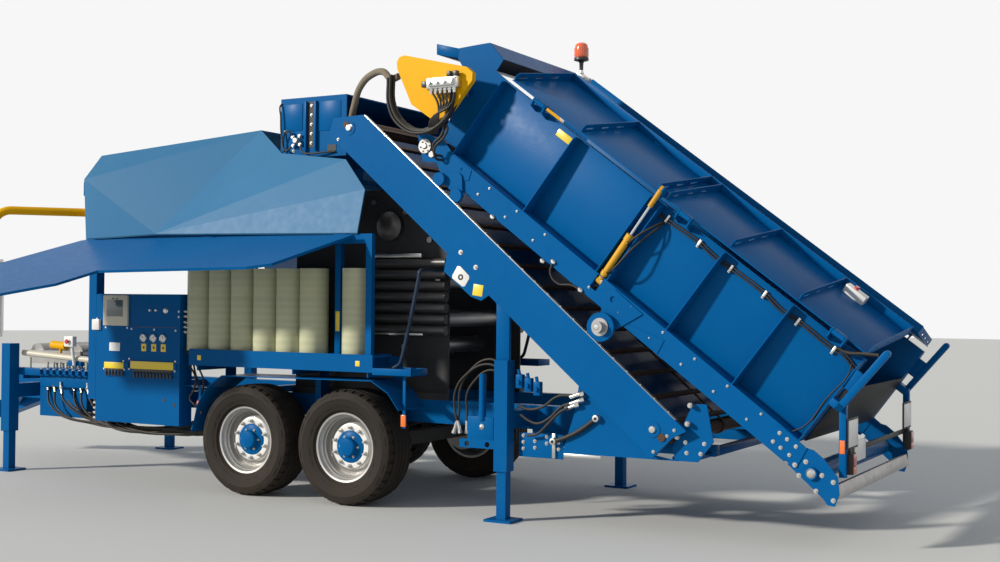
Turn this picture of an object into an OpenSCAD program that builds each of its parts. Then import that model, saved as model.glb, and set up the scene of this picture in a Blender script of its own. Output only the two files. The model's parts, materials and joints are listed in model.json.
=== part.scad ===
// Towed bale press and wrapper: tandem-axle chassis, inclined slat elevator,
// folding feed hopper, bale chamber, film store under gull-wing hoods and a
// wrapping table with two satellite arms. Built from the middle of the two
// axles (x forwards, y to the left, z up from the ground), then moved so that
// the origin lies on the ground under the middle of the machine.

/* [Running gear] */
// Outer diameter of a tyre
tyre_d = 995; // [960:5:1010]
// Width of a tyre
tyre_w = 385; // [365:5:395]
// Diameter of the rim's bead seat
rim_seat_d = 571.5; // [560:0.5:580]
// Distance between the two axles
axle_gap = 1095; // [1080:5:1200]
// Distance between the tyre centres of one axle
track = 2110; // [2080:5:2120]
// Number of wheel studs
stud_count = 10; // [6:1:12]
// Diameter of the stud circle
stud_pcd = 335; // [320:1:340]
// Radius of the stub axle
stub_r = 45; // [35:1:55]
// Radial clearance of a running fit
run_fit = 0.05; // [0.02:0.01:0.09]

/* [Chassis] */
// Height of the chassis rails' top above the ground
rail_top = 900; // [890:2:910]
// Height of a chassis rail's section
rail_h = 200; // [160:5:210]
// Width of a chassis rail's section
rail_w = 100; // [80:5:110]
// Half distance between the rails' inner faces
rail_in = 600; // [590:2:605]
// Front end of the chassis
frame_front = 4150; // [4120:5:4250]
// Rear end of the chassis
frame_rear = -2750; // [-2800:5:-2740]
// Place of the front support legs
leg_front_x = 3690; // [3600:5:3750]
// Place of the rear support legs
leg_rear_x = -2080; // [-2120:5:-2050]
// Half distance between the support legs' centres
leg_y = 1150; // [1130:5:1170]
// Section of a support leg's sleeve
leg_w = 120; // [100:2:130]
// Height of the sleeves' top
leg_top = 1290; // [1200:5:1300]

/* [Drawbar] */
// Place of the tow eye's centre
eye_x = 5300; // [5200:5:5400]
// Height of the tow eye's centre
eye_z = 480; // [460:2:500]
// Radius of the tow eye's bore
eye_r = 20; // [18:0.5:25]
// Thickness of the tow eye
eye_t = 42; // [36:1:50]

/* [Elevator] */
// Incline of the elevator in degrees
elev_tilt = 40.7; // [40:0.1:41.5]
// Length of the side plates' upper edge
elev_len = 3891; // [3850:1:3920]
// Depth of the side plates
elev_h = 324; // [300:2:330]
// Outer half width over the side plates
elev_half = 1190; // [1180:1:1195]
// Thickness of a side plate
elev_t = 40; // [30:1:45]
// Distance between two slats
slat_pitch = 262; // [240:1:300]

/* [Hopper] */
// Incline of the folded hopper in degrees
hop_tilt = 36.9; // [36:0.1:37]
// Height of the hopper's side walls
hop_wall_h = 730; // [700:5:750]
// Half distance between the side walls' inner faces
hop_in = 1030; // [1010:2:1040]
// Half width of the hopper over its ribs
hop_half = 1120; // [1110:1:1125]
// Thickness of a folding wing
wing_t = 30; // [25:1:40]
// Rise of the folded wings towards the middle in degrees
wing_rise = 7; // [5:0.5:9]
// Travel of the hopper down the elevator
hop_travel = 2500; // [2400:10:2600]

/* [Body] */
// Half width at the side hoods' hinge line
hood_half = 1250; // [1240:1:1255]
// Height of the hinge line
hinge_z = 2335; // [2330:1:2345]
// Droop of the opened side flaps in degrees
flap_droop = 20; // [15:0.5:25]
// Thickness of a side flap
flap_t = 24; // [20:1:30]
// Diameter of a film roll
roll_d = 255; // [240:1:258]
// Width of the wrap film on a roll
roll_h = 750; // [700:5:760]

/* [Wrapper] */
// Place of the satellite arms' axis
sat_x = 3650; // [3620:5:3680]
// Radius at which the film stretchers hang
sat_r = 1100; // [1080:2:1110]
// Direction of the left arm at rest, from straight ahead
sat_rest = 50; // [40:1:60]

/* [Hidden] */
$fn = 48;

tyre_r = tyre_d / 2;
axle_z = tyre_r;
wheel_y = track / 2;
seat_r = rim_seat_d / 2;
stub_from = wheel_y - 330;

// The elevator's own frame: x up along its upper edge from the lower end
elev_low = [-3650, 0, 810];
// The hopper's own frame: x forwards along its floor from the carriage's pin
hop_pin = [-1600, 0, 2765];
pin_r = 30;
wall_low = 150;
wall_top = wall_low + hop_wall_h;
wall_front = 175;
// Stations of the ribs along the hopper, from the front; a cylinder stands in the close pair
ribs = [wall_front, -695, -1475, -1590, -2225, -2865, -3515];
hop_front = 450;
hop_rear = -3630;
tail_x = -3980;
arm_x = hop_rear - 40;
arm_top = 990;

// The whole machine reaches from the hopper's tail to the nose of the tow eye
eye_ring = 70;
machine_front = eye_x + eye_ring;
machine_rear = hop_pin[0] + arm_x * cos(hop_tilt) - arm_top * sin(hop_tilt);
mid_x = (machine_front + machine_rear) / 2;

// Portal post beside the cabinet
post_x = 2480;
post_y = 1150;

module block(low, high) translate(low) cube(high - low);

module both_sides() {
    children();
    mirror([0, 1, 0]) children();
}

// A round bar from one point to another
module rod(from, to, r) {
    d = to - from;
    len = norm(d);
    translate(from)
        rotate([0, acos(d[2] / len), atan2(d[1], d[0])])
        cylinder(r = r, h = len);
}

// A cylinder across the machine, from y = a to y = b
module cross_rod(x, z, a, b, r) translate([x, a, z]) rotate([-90, 0, 0]) cylinder(r = r, h = b - a);

// A pin along x at p = [y, z], reaching the given length to both sides of x
module cross_bolt(x, p, r, half) translate([x - half, p[0], p[1]]) rotate([0, 90, 0]) cylinder(r = r, h = 2 * half);

// An outline in the x-z plane, from y = a to y = b
module side_plate(points, a, b) translate([0, b, 0]) rotate([90, 0, 0]) linear_extrude(b - a) polygon(points);

// A rectangular bar in the x-z plane whose upper edge runs from p to q
module incline_bar(p, q, h, a, b) {
    len = norm(q - p);
    translate([p[0], a, p[1]])
        rotate([0, -atan2(q[1] - p[1], q[0] - p[0]), 0])
        translate([0, 0, -h]) cube([len, b - a, h]);
}

module in_elevator() translate(elev_low) rotate([0, -elev_tilt, 0]) children();
module in_hopper() translate(hop_pin) rotate([0, -hop_tilt, 0]) children();

// Chassis

module chassis_frame() color("royalblue") {
    both_sides() block([frame_rear, rail_in, rail_top - rail_h], [frame_front, rail_in + rail_w, rail_top]);
    for (x = [frame_front - 120, 2650, 1250, -1250, frame_rear])
        block([x, -rail_in, rail_top - 160], [x + 100, rail_in, rail_top - 20]);
    for (x = [leg_front_x, leg_rear_x]) both_sides()
        block([x - 60, rail_in + rail_w, rail_top - 160], [x + 60, leg_y - leg_w / 2, rail_top - 20]);
    // outriggers under the hood post and the cabinet
    both_sides() block([post_x - 40, rail_in + rail_w, rail_top - 120], [post_x + 40, post_y - 50, rail_top - 20]);
    for (x = [1450, 2280]) block([x - 40, rail_in + rail_w, rail_top - 120], [x + 40, cab_y[0], rail_top - 20]);
    // struts out to the mudguards, between the wheels
    both_sides() block([-30, rail_in + rail_w, rail_top - 50], [30, wheel_y - tyre_w / 2 - 12, rail_top]);
}

brace_front = eye_x - 480;

module drawbar() color("royalblue") difference() {
    union() {
        block([frame_front, -rail_in - rail_w, rail_top - 190], [frame_front + 20, rail_in + rail_w, rail_top]);
        incline_bar([frame_front + 90, rail_top - 40], [eye_x - 150, eye_z + 90], 180, -90, 90);
        block([frame_front + 10, -100, rail_top - 190], [frame_front + 110, 100, rail_top - 30]);
        // side beams, running together towards the eye
        both_sides() intersection() {
            side_plate([[frame_front + 10, rail_top - 180], [brace_front, eye_z + 70], [brace_front, eye_z + 190],
                [frame_front + 10, rail_top - 40]], 60, rail_in + rail_w);
            linear_extrude(rail_top) polygon([[frame_front + 10, rail_in - 30], [brace_front, 60],
                [brace_front, 110], [frame_front + 10, rail_in + 60]]);
        }
        block([eye_x - 190, -70, eye_z - eye_t / 2], [eye_x, 70, eye_z + eye_t / 2]);
        translate([eye_x, 0, eye_z - eye_t / 2]) cylinder(r = eye_ring, h = eye_t);
        block([eye_x - 200, -100, eye_z - 95], [eye_x - 130, 100, eye_z + 100]);
    }
    translate([eye_x, 0, eye_z - eye_t]) cylinder(r = eye_r, h = 2 * eye_t);
}

module leaf_spring(x) {
    // pack, seat on the axle and the two hangers under the rail
    side_plate([[x - 420, 690], [x - 60, 585], [x + 60, 585], [x + 420, 690], [x + 420, 700],
        [x + 390, 700], [x + 60, 625], [x - 60, 625], [x - 390, 700], [x - 420, 700]], rail_in + 15, rail_in + 85);
    block([x - 70, rail_in + 15, axle_z + 60], [x + 70, rail_in + 85, 586]);
}

module axles() color("dimgray") for (x = [axle_gap / 2, -axle_gap / 2]) {
    block([x - 60, -stub_from, axle_z - 60], [x + 60, stub_from, axle_z + 60]);
    both_sides() {
        cross_rod(x, axle_z, stub_from, wheel_y + 60, stub_r);
        leaf_spring(x);
    }
}

module support_legs() color("royalblue") for (x = [leg_front_x, leg_rear_x]) both_sides() {
    block([x - leg_w / 2, leg_y - leg_w / 2, 400], [x + leg_w / 2, leg_y + leg_w / 2, leg_top]);
    block([x - 42, leg_y - 42, 20], [x + 42, leg_y + 42, 400]);
    block([x - 120, leg_y - 110, 0], [x + 120, leg_y + 110, 20]);
}

// The profile of one mudguard above the two tyres
guard_line = [[1140, 550], [1075, 800], [960, 960], [790, 1070], [-850, 1085], [-1020, 990], [-1130, 850]];

module fenders() color("royalblue") both_sides() {
    y0 = wheel_y - tyre_w / 2 - 12;
    inner = [for (i = [len(guard_line) - 1 : -1 : 0]) guard_line[i] - [0, 8]];
    side_plate(concat(guard_line, inner), y0, hood_half + 5);
    block([-30, y0, rail_top - 50], [30, y0 + 8, 1071]);
}

// Cabinet with the controls, on the left side

cab_x = [1315, 2400];
cab_z = [575, 1800];
cab_y = [1068, 1210];

module cabinet() color("royalblue") difference() {
    block([cab_x[0], cab_y[0], cab_z[0]], [cab_x[1], cab_y[1], cab_z[1]]);
    block([cab_x[0] + 5, cab_y[0] + 5, cab_z[0] + 5], [cab_x[1] - 5, cab_y[1] + 1, cab_z[1] - 5]);
}

module control_panel() color("royalblue") {
    block([cab_x[0] + 4, cab_y[1], cab_z[0] + 4], [cab_x[1] - 4, cab_y[1] + 20, cab_z[1] - 4]);
    // screen, and the row of levers with its shelf
    block([1990, cab_y[1] + 20, 1500], [2260, cab_y[1] + 42, 1770]);
    block([1350, cab_y[1] + 20, 1095], [1830, cab_y[1] + 30, 1150]);
    block([1960, cab_y[1] + 20, 1095], [2240, cab_y[1] + 30, 1150]);
}

// Film store

shelf_x = [-860, 1190];
roll_x = [1180, 918, 656, 394, 132, -130, -590];
roll_y = 1100;
tray_z = 1285;

module film_shelf() color("royalblue") both_sides() {
    block([shelf_x[0], hood_half - 18, tray_z - 135], [shelf_x[1], hood_half - 2, tray_z + 15]);
    block([shelf_x[0], 960, tray_z - 12], [shelf_x[1], hood_half - 18, tray_z]);
    block([shelf_x[0], 960, tray_z - 60], [shelf_x[1], 972, tray_z + 15]);
    for (x = [-800, 0, 1100]) side_bracket(x);
}

module side_bracket(x) translate([x + 6, 0, 0]) rotate([90, 0, -90]) linear_extrude(12)
    polygon([[-700, rail_top], [-840, rail_top], [-840, 1105], [-1232, 1105], [-1232, tray_z - 12],
        [-700, tray_z - 12]]);

module film_rolls() color("ivory") both_sides() for (x = roll_x) translate([x, roll_y, tray_z]) difference() {
    cylinder(r = roll_d / 2, h = roll_h);
    translate([0, 0, -1]) cylinder(r = 38, h = roll_h + 2);
}

// Side hoods: outer corners of the left one, as named points
h_front = [2530, hood_half, hinge_z];
h_rear = [-690, hood_half, hinge_z];
h_dip = [1610, hood_half + 12, hinge_z + 30];
h_shoulder = [2565, hood_half, 2913];
h_brow = [2500, 1090, 3156];
h_ridge = [782, 750, 3350];
h_notch = [413, 900, 3100];
h_top = [-418, 1050, 2992];
h_heel = [-695, 1150, 2712];
h_brow_mid = [2500, 0, 3156];
h_ridge_mid = [782, 0, 3350];
hood_points = [h_front, h_rear, h_dip, h_shoulder, h_brow, h_ridge, h_notch, h_top, h_heel, h_brow_mid, h_ridge_mid];
// Facets, each counter-clockwise seen from outside
hood_facets = [[0, 3, 2], [3, 5, 2], [3, 4, 5], [5, 6, 2], [6, 7, 2], [7, 8, 2], [8, 1, 2], [4, 9, 10], [4, 10, 5]];
// The open edge round the shell, in order
hood_edge = [0, 3, 4, 9, 10, 5, 6, 7, 8, 1, 2];
hood_wall = [0, -10, -12];

module hood_shell() {
    n = len(hood_points);
    inner = [for (p = hood_points) p + (p[1] == 0 ? [0, 0, hood_wall[2]] : hood_wall)];
    m = len(hood_edge);
    polyhedron(
        points = concat(hood_points, inner),
        faces = concat(
            [for (f = hood_facets) [f[0], f[1], f[2]]],
            [for (f = hood_facets) [f[2] + n, f[1] + n, f[0] + n]],
            [for (i = [0 : m - 1]) [hood_edge[(i + 1) % m], hood_edge[i], hood_edge[i] + n]],
            [for (i = [0 : m - 1]) [hood_edge[(i + 1) % m], hood_edge[i] + n, hood_edge[(i + 1) % m] + n]]));
}

module hood_left() color("royalblue") hood_shell();
module hood_right() color("royalblue") mirror([0, 1, 0]) hood_shell();

// The left flap's outline: place along the machine, width from its hinge
flap_line = [[-690, 30], [2530, 30], [2900, 720], [3350, 1600], [2000, 1600], [1550, 1300], [1400, 960],
    [-200, 880], [-400, 800]];
hinge_r = 14;

module flap() translate([0, hood_half + 12, hinge_z - 30]) rotate([-flap_droop, 0, 0]) {
    linear_extrude(flap_t) polygon(flap_line);
    for (x = [-600, 900, 2380]) {
        translate([x, 0, 0]) rotate([0, 90, 0]) difference() {
            union() {
                cylinder(r = hinge_r + 8, h = 120);
                translate([-flap_t, 0, 0]) cube([flap_t, 40, 120]);
            }
            translate([0, 0, -1]) cylinder(r = hinge_r + run_fit, h = 122);
        }
    }
}

module flap_left() color("royalblue") flap();
module flap_right() color("royalblue") mirror([0, 1, 0]) flap();

// Frame that carries hoods and flaps

module hood_frame() color("royalblue") {
    both_sides() {
        block([post_x - 50, post_y - 50, rail_top - 120], [post_x + 50, post_y + 50, 2780]);
        // hinge rail, its pins and lugs
        block([-830, 1180, hinge_z - 90], [post_x - 50, 1228, hinge_z - 8]);
        for (x = [-600, 900, 2380]) {
            rod([x - 20, hood_half + 12, hinge_z - 30], [x + 140, hood_half + 12, hinge_z - 30], hinge_r);
            block([x - 20, 1228, hinge_z - 50], [x - 2, hood_half + 26, hinge_z - 12]);
            block([x + 122, 1228, hinge_z - 50], [x + 140, hood_half + 26, hinge_z - 12]);
        }
        // rear prop, standing on the end of the film shelf
        block([-830, 1180, tray_z], [-770, 1228, hinge_z - 90]);
    }
    block([post_x - 50, -post_y - 50, 2780], [post_x + 50, post_y + 50, 2880]);
}

// Bale chamber

chamber_c = [-450, 1950];
chamber_r = 760;
wall_y = [640, 652];

module chamber_walls() color("darkslategray") both_sides() {
    difference() {
        union() {
            cross_rod(chamber_c[0], chamber_c[1], wall_y[0], wall_y[1], chamber_r + 40);
            block([-1250, wall_y[0], rail_top], [420, wall_y[1], 1700]);
            block([0, wall_y[0], 1700], [420, wall_y[1], 2880]);
        }
        for (a = [0 : 30 : 330])
            cross_rod(chamber_c[0] + 690 * cos(a), chamber_c[1] + 690 * sin(a), 600, 700, 25.3);
    }
    block([-1250, wall_y[1], rail_top], [420, 700, rail_top + 60]);
}

module chamber_rollers() color("gray") for (a = [30 : 30 : 330]) {
    x = chamber_c[0] + 690 * cos(a);
    z = chamber_c[1] + 690 * sin(a);
    cross_rod(x, z, -wall_y[0] + 4, wall_y[0] - 4, 75);
    cross_rod(x, z, -wall_y[1] - 20, wall_y[1] + 20, 25);
}

// Box over the chamber into which the elevator drops
box_x = [-290, 450];
box_z = [3052, 3600];

module feed_box() color("royalblue") {
    difference() {
        block([box_x[0], -870, box_z[0]], [box_x[1], 870, box_z[1]]);
        block([box_x[0] - 1, -858, box_z[0] - 1], [box_x[1] - 12, 858, box_z[1] - 12]);
    }
    both_sides() block([100, 640, 2880], [300, 652, box_z[0]]);
    both_sides() block([100, 640, box_z[0] - 12], [300, 870, box_z[0]]);
}

// Elevator

bed_z = -170;
chain_r = 70;
head_x = elev_len + 80;
tail_drum_x = 110;

module elevator_sides() color("royalblue") in_elevator() both_sides() {
    y = [elev_half - elev_t, elev_half];
    difference() {
        side_plate([[0, 0], [elev_len, 0], [elev_len + 226, -elev_h], [50, -elev_h], [0, -elev_h + 60]], y[0], y[1]);
        for (x = [tail_drum_x, head_x]) cross_rod(x, bed_z, y[0] - 1, y[1] + 1, 30.3);
    }
}

module elevator_bed() color("royalblue") in_elevator() {
    block([tail_drum_x + 130, -elev_half + elev_t, bed_z - 5], [head_x - 130, elev_half - elev_t, bed_z + 5]);
    for (x = [400 : 700 : 3600]) block([x, -elev_half + elev_t, -elev_h + 10], [x + 80, elev_half - elev_t, -elev_h + 50]);
}

module slat_chain() color("saddlebrown") in_elevator() {
    // head and tail shafts with their drums
    for (x = [tail_drum_x, head_x]) {
        cross_rod(x, bed_z, -elev_half - 10, elev_half + 10, 30);
        cross_rod(x, bed_z, -1100, 1100, chain_r - 12);
    }
    // two endless chains
    for (y = [-900, 0, 900]) {
        translate([0, y + 12, 0]) rotate([90, 0, 0]) linear_extrude(24) difference() {
            chain_outline(chain_r);
            chain_outline(chain_r - 11.7);
        }
    }
    for (x = [tail_drum_x + 60 : slat_pitch : head_x - 60], side = [1, -1])
        translate([x, 0, bed_z + side * (chain_r + 14)]) cube([34, 2180, 28], center = true);
}

module chain_outline(r) {
    translate([tail_drum_x, bed_z]) circle(r = r);
    translate([head_x, bed_z]) circle(r = r);
    translate([tail_drum_x, bed_z - r]) square([head_x - tail_drum_x, 2 * r]);
}

// Rear base with its side panels, leg brackets and props under the elevator

// Height of the elevator's lower edge over a place along the machine
function under_elevator(x) = elev_low[2] + (x - elev_low[0]) * tan(elev_tilt) - elev_h / cos(elev_tilt);

base_x = [-3700, -2100];
base_z = [575, 660];
panel_x = [-3410, -2560];

module rear_base() color("royalblue") {
    both_sides() {
        block([base_x[0], rail_in, base_z[0]], [base_x[1], rail_in + rail_w, base_z[1]]);
        block([frame_rear, rail_in, base_z[1]], [base_x[1], rail_in + rail_w, rail_top - rail_h]);
        // side panel under the elevator
        side_plate([[panel_x[0], base_z[0]], [panel_x[1], base_z[0]], [panel_x[1], under_elevator(panel_x[1]) - 12],
            [panel_x[0], under_elevator(panel_x[0]) - 12]], 1100, 1112);
        block([panel_x[1] - 90, rail_in + rail_w, base_z[0]], [panel_x[1] - 10, 1100, base_z[1]]);
        block([base_x[0], rail_in + rail_w, base_z[0]], [panel_x[0], 1112, base_z[0] + 30]);
        // prop under the elevator's side plate, standing on the leg's sleeve
        side_plate([[leg_rear_x - 60, leg_top], [leg_rear_x + 60, leg_top],
            [leg_rear_x + 60, under_elevator(leg_rear_x + 60)], [leg_rear_x - 60, under_elevator(leg_rear_x - 60)]],
            elev_half - elev_t, elev_half);
    }
    block([base_x[0], -rail_in, base_z[0]], [base_x[0] + 80, rail_in, base_z[0] + 60]);
}

module hydraulic_tank() color("royalblue") difference() {
    block([2760, rail_in + rail_w, 560], [3420, 1000, 860]);
    block([2800, rail_in + rail_w - 1, 500], [3380, rail_in + rail_w + 20, 900]);
}

// Wrapper

module gantry() color("royalblue") {
    block([200, -80, 2880], [sat_x + 180, 80, 3030]);
    block([200, -640, 2880], [420, 640, 2930]);
    translate([sat_x, 0, 2790]) cylinder(r = 150, h = 90);
    translate([sat_x, 0, 2600]) cylinder(r = 50, h = 190);
}

arm_r = 45;
arm_z = 2690;
bend_r = 180;
stretch_z = 2160;

module satellite_arm() {
    // level tube, bend and hanging stretch
    rod([120, 0, arm_z], [sat_r - bend_r, 0, arm_z], arm_r);
    translate([sat_r - bend_r, 0, arm_z - bend_r]) rotate([90, 0, 0]) rotate_extrude(angle = 90)
        translate([bend_r, 0]) circle(r = arm_r);
    translate([sat_r, 0, stretch_z]) cylinder(r = arm_r, h = arm_z - bend_r - stretch_z);
}

module satellite_rotor() color("orange") translate([sat_x, 0, 0]) rotate([0, 0, sat_rest]) difference() {
    union() {
        translate([0, 0, 2620]) cylinder(r = 160, h = 165);
        for (a = [0, 180]) rotate([0, 0, a]) satellite_arm();
    }
    translate([0, 0, 2500]) cylinder(r = 50 + run_fit, h = 400);
}

module film_stretchers() color("silver") translate([sat_x, 0, 0]) rotate([0, 0, sat_rest])
    for (a = [0, 180]) rotate([0, 0, a]) {
        for (z = [stretch_z - 30, 1340]) block([sat_r - 110, -260, z], [sat_r + 100, 130, z + 30]);
        translate([sat_r, 0, 1370]) cylinder(r = 120, h = stretch_z - 1400);
        for (y = [-190, -90]) translate([sat_r - 50, y - 40, 1370]) cylinder(r = 42, h = stretch_z - 1400);
    }

table_pin = [-560, 1040];
table_len = 1180;

bracket_x = [sat_x - 425, sat_x + 405];

module table_frame() color("royalblue") for (x = bracket_x) {
    block([x - 30, -rail_in - rail_w, rail_top], [x + 50, rail_in + rail_w, rail_top + 60]);
    difference() {
        block([x, table_pin[0] - 50, rail_top + 60], [x + 20, table_pin[0] + 50, table_pin[1] + 45]);
        translate([x - 1, table_pin[0], table_pin[1]]) rotate([0, 90, 0]) cylinder(r = 25 + run_fit, h = 22);
    }
}

module wrap_table() color("gray") {
    for (s = [-1, 1]) translate([sat_x + s * 290, 0, 1170]) rotate([90, 0, 0])
        cylinder(r = 100, h = table_len, center = true);
    for (s = [-1, 1]) block([sat_x - 380, s * (table_len / 2 + 20) - 12, 1060], [sat_x + 380, s * (table_len / 2 + 20) + 12, 1200]);
    translate([bracket_x[0] - 5, table_pin[0], table_pin[1]]) rotate([0, 90, 0]) cylinder(r = 25, h = bracket_x[1] - bracket_x[0] + 30);
    block([sat_x - 380, -620, 1000], [sat_x + 380, -500, 1062]);
    for (s = [-1, 1]) block([sat_x + s * 290 - 20, -610, 1150], [sat_x + s * 290 + 20, 610, 1190]);
}

// Hopper carriage and hopper

shoe_r = above_rail([hop_pin[0], hop_pin[2]]) - 90 - 0.3;

module carriage() color("royalblue") in_hopper() {
    cross_rod(0, 0, -1143, 1143, pin_r);
    both_sides() {
        difference() {
            hull() {
                cross_rod(0, 0, 1126, 1143, 60);
                rotate([0, hop_tilt - elev_tilt, 0]) block([-150, 1126, -100], [150, 1143, -70]);
            }
            cross_rod(0, 0, 1120, 1150, pin_r - 1);
        }
        rotate([0, hop_tilt - elev_tilt, 0]) for (x = [-110, 110]) cross_rod(x, -90, 1146, 1186, shoe_r);
        rotate([0, hop_tilt - elev_tilt, 0]) for (x = [-110, 110]) cross_rod(x, -90, 1126, 1147, 20);
    }
}

// A point of the hopper, as [x, z] in the machine, and its distance above the elevator's rail
function hopper_point(p) = [hop_pin[0] + p[0] * cos(hop_tilt) - p[1] * sin(hop_tilt),
    hop_pin[2] + p[0] * sin(hop_tilt) + p[1] * cos(hop_tilt)];
function above_rail(q) = (q[1] - elev_low[2]) * cos(elev_tilt) - (q[0] - elev_low[0]) * sin(elev_tilt);

support_pin = [-1787, -151];
roll_gap = 0.3;
support_r = above_rail(hopper_point(support_pin)) - roll_gap;

module hopper_floor() color("royalblue") in_hopper() {
    difference() {
        union() {
            both_sides() {
                // side rail, hinge lug at the front and roller bracket
                block([hop_rear, hop_in, 60], [wall_front, hop_half, wall_low]);
                side_plate([[-90, 60], [-60, -60], [60, -60], [100, 60]], 1085, hop_half);
                side_plate([[-2000, 60], [-1860, -190], [-1710, -190], [-1560, 60]], 1085, hop_half);
                cross_rod(support_pin[0], support_pin[1], hop_half, 1150, 30);
                cross_rod(support_pin[0], support_pin[1], 1150, 1188, support_r);
            }
            block([hop_rear, -hop_in, 132], [wall_front, hop_in, wall_low]);
            for (x = [-3400 : 560 : 0]) block([x, -hop_in, 70], [x + 60, hop_in, 132]);
        }
        both_sides() {
            cross_rod(0, 0, 1080, 1125, pin_r + run_fit);
            // pocket for the cylinder's foot
            block([cyl_x - 32, hop_in + 10, 25], [cyl_x + 32, hop_half + 1, wall_low + 1]);
        }
    }
    both_sides() cross_bolt(cyl_x, cyl_low, 12, 46);
}

module hopper_walls() color("royalblue") in_hopper() both_sides() {
    block([hop_rear, hop_in, wall_low], [wall_front, hop_in + 8, wall_top]);
    block([hop_rear, hop_in + 8, wall_top - 50], [wall_front, hop_in + 48, wall_top]);
    for (x = ribs) rotate([90, 0, 90]) translate([0, 0, x - (x > 0 ? 8 : 4)]) linear_extrude(8)
        polygon([[hop_in + 8, wall_low], [hop_half, wall_low], [hop_half - 20, wall_low + 60],
            [hop_in + 48, wall_top - 50], [hop_in + 8, wall_top - 50]]);
    // hinge pins of the wing between their lugs
    for (x = wing_knuckles) {
        cross_bolt(x + knuckle_w / 2, wing_hinge, wing_pin_r, knuckle_w / 2 + 16);
        for (e = [x - 16, x + knuckle_w + 4]) block([e, wing_hinge[0] - 22, wall_top - 10], [e + 12, wing_hinge[0] + 20, wing_hinge[1] + 18]);
    }
}

module hopper_tail() color("royalblue") in_hopper() {
    both_sides() {
        // arm, foot plate and bearing plate
        side_plate([[hop_rear, wall_low], [arm_x, wall_low], [arm_x, arm_top], [hop_rear, arm_top]], hop_in, hop_half);
        side_plate([[hop_rear, 60], [-3560, 60], [-3560, 20], [-3850, -100], [-4000, -100], [-4030, -40],
            [arm_x, wall_low], [hop_rear, wall_low]], hop_half - 20, hop_half);
    }
    cross_rod(tail_x, -60, -1100, 1100, 40);
}

module hopper_front() color("royalblue") in_hopper() {
    both_sides() side_plate([[wall_front, wall_low], [hop_front - 60, wall_low], [hop_front, wall_low + 200],
        [hop_front + 20, wall_top + 100], [hop_front - 20, wall_top + 170], [wall_front, wall_top + 110]], hop_in, hop_in + 8);
    // hood beam across the front
    block([hop_front - 120, -hop_in, wall_top + 120], [hop_front - 60, hop_in, wall_top + 150]);
}

// Folding wings on the walls' top edges: hinge as [y, z] in the hopper's frame
wing_hinge = [hop_in + 55, wall_top + 35];
wing_w = 1075;
wing_x = [hop_rear + 10, -10];
wing_pin_r = 10;
wing_knuckles = [-3300, -1850, -300];
knuckle_w = 100;
// Lever that the cylinder pushes: length, and its angle from sideways at rest
lever_r = 70;
lever_rest = 66;
cyl_x = -1532;
cyl_low = [wing_hinge[0], 105];
cyl_eye = wing_hinge + lever_r * [cos(lever_rest), sin(lever_rest)];
cyl_len = norm(cyl_eye - cyl_low);
cyl_lean = atan2(cyl_eye[0] - cyl_low[0], cyl_eye[1] - cyl_low[1]);
rod_r = 14;
barrel_len = 560;

module wing() in_hopper() translate([0, wing_hinge[0], wing_hinge[1]]) {
    rotate([-wing_rise, 0, 0]) {
        translate([wing_x[0], -wing_w, -wing_t / 2]) cube([wing_x[1] - wing_x[0], wing_w - 40, wing_t]);
        for (x = wing_knuckles) difference() {
            union() {
                translate([x, 0, 0]) rotate([0, 90, 0]) cylinder(r = 20, h = knuckle_w);
                translate([x, -41, -wing_t / 2]) cube([knuckle_w, 41, wing_t]);
            }
            translate([x - 1, 0, 0]) rotate([0, 90, 0]) cylinder(r = wing_pin_r + run_fit, h = knuckle_w + 2);
        }
    }
    // two ears that take the cylinder's rod between them
    for (x = [cyl_x - 26, cyl_x + 16]) translate([x, 0, 0]) rotate([90, 0, 90]) linear_extrude(10) difference() {
        union() {
            polygon([[-60, -10], [-60, 20], [-10, 30], [lever_r * cos(lever_rest) - 22, lever_r * sin(lever_rest) + 8],
                [lever_r * cos(lever_rest) + 20, lever_r * sin(lever_rest) - 8], [14, -12]]);
            translate(lever_r * [cos(lever_rest), sin(lever_rest)]) circle(r = 22);
        }
    }
}

module wing_left() color("royalblue") wing();
module wing_right() color("royalblue") mirror([0, 1, 0]) wing();

// Wing cylinders, leaning from the lower pin to the lever's eye
module in_cylinder() in_hopper() translate([cyl_x, cyl_low[0], cyl_low[1]]) rotate([-cyl_lean, 0, 0]) children();

module barrel() in_cylinder() {
    difference() {
        union() {
            rotate([0, 90, 0]) cylinder(r = 26, h = 54, center = true);
            translate([0, 0, 20]) cylinder(r = 28, h = barrel_len);
        }
        rotate([0, 90, 0]) cylinder(r = 12 + run_fit, h = 60, center = true);
        translate([0, 0, 60]) cylinder(r = rod_r + run_fit, h = barrel_len);
    }
}

module piston() in_cylinder() {
    translate([0, 0, 300]) cylinder(r = rod_r, h = cyl_len - 300 - 15);
    translate([0, 0, cyl_len]) difference() {
        rotate([0, 90, 0]) cylinder(r = 20, h = 24, center = true);
        rotate([0, 90, 0]) cylinder(r = 11, h = 26, center = true);
    }
}

module barrel_left() color("gold") barrel();
module barrel_right() color("gold") mirror([0, 1, 0]) barrel();
module piston_left() color("silver") piston();
module piston_right() color("silver") mirror([0, 1, 0]) piston();

beacon_y = -650;

module beacon() color("orangered") in_hopper() {
    block([hop_front - 120, beacon_y - 30, wall_top + 150], [hop_front - 60, beacon_y + 30, wall_top + 175]);
    translate([hop_front - 90, beacon_y, wall_top + 175]) rotate([0, hop_tilt, 0]) translate([0, 0, -10]) {
        cylinder(r = 22, h = 140);
        translate([0, 0, 130]) cylinder(r = 62, h = 20);
        translate([0, 0, 150]) cylinder(r1 = 56, r2 = 48, h = 110);
    }
}

guard_y = [1196, 1204];

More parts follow.
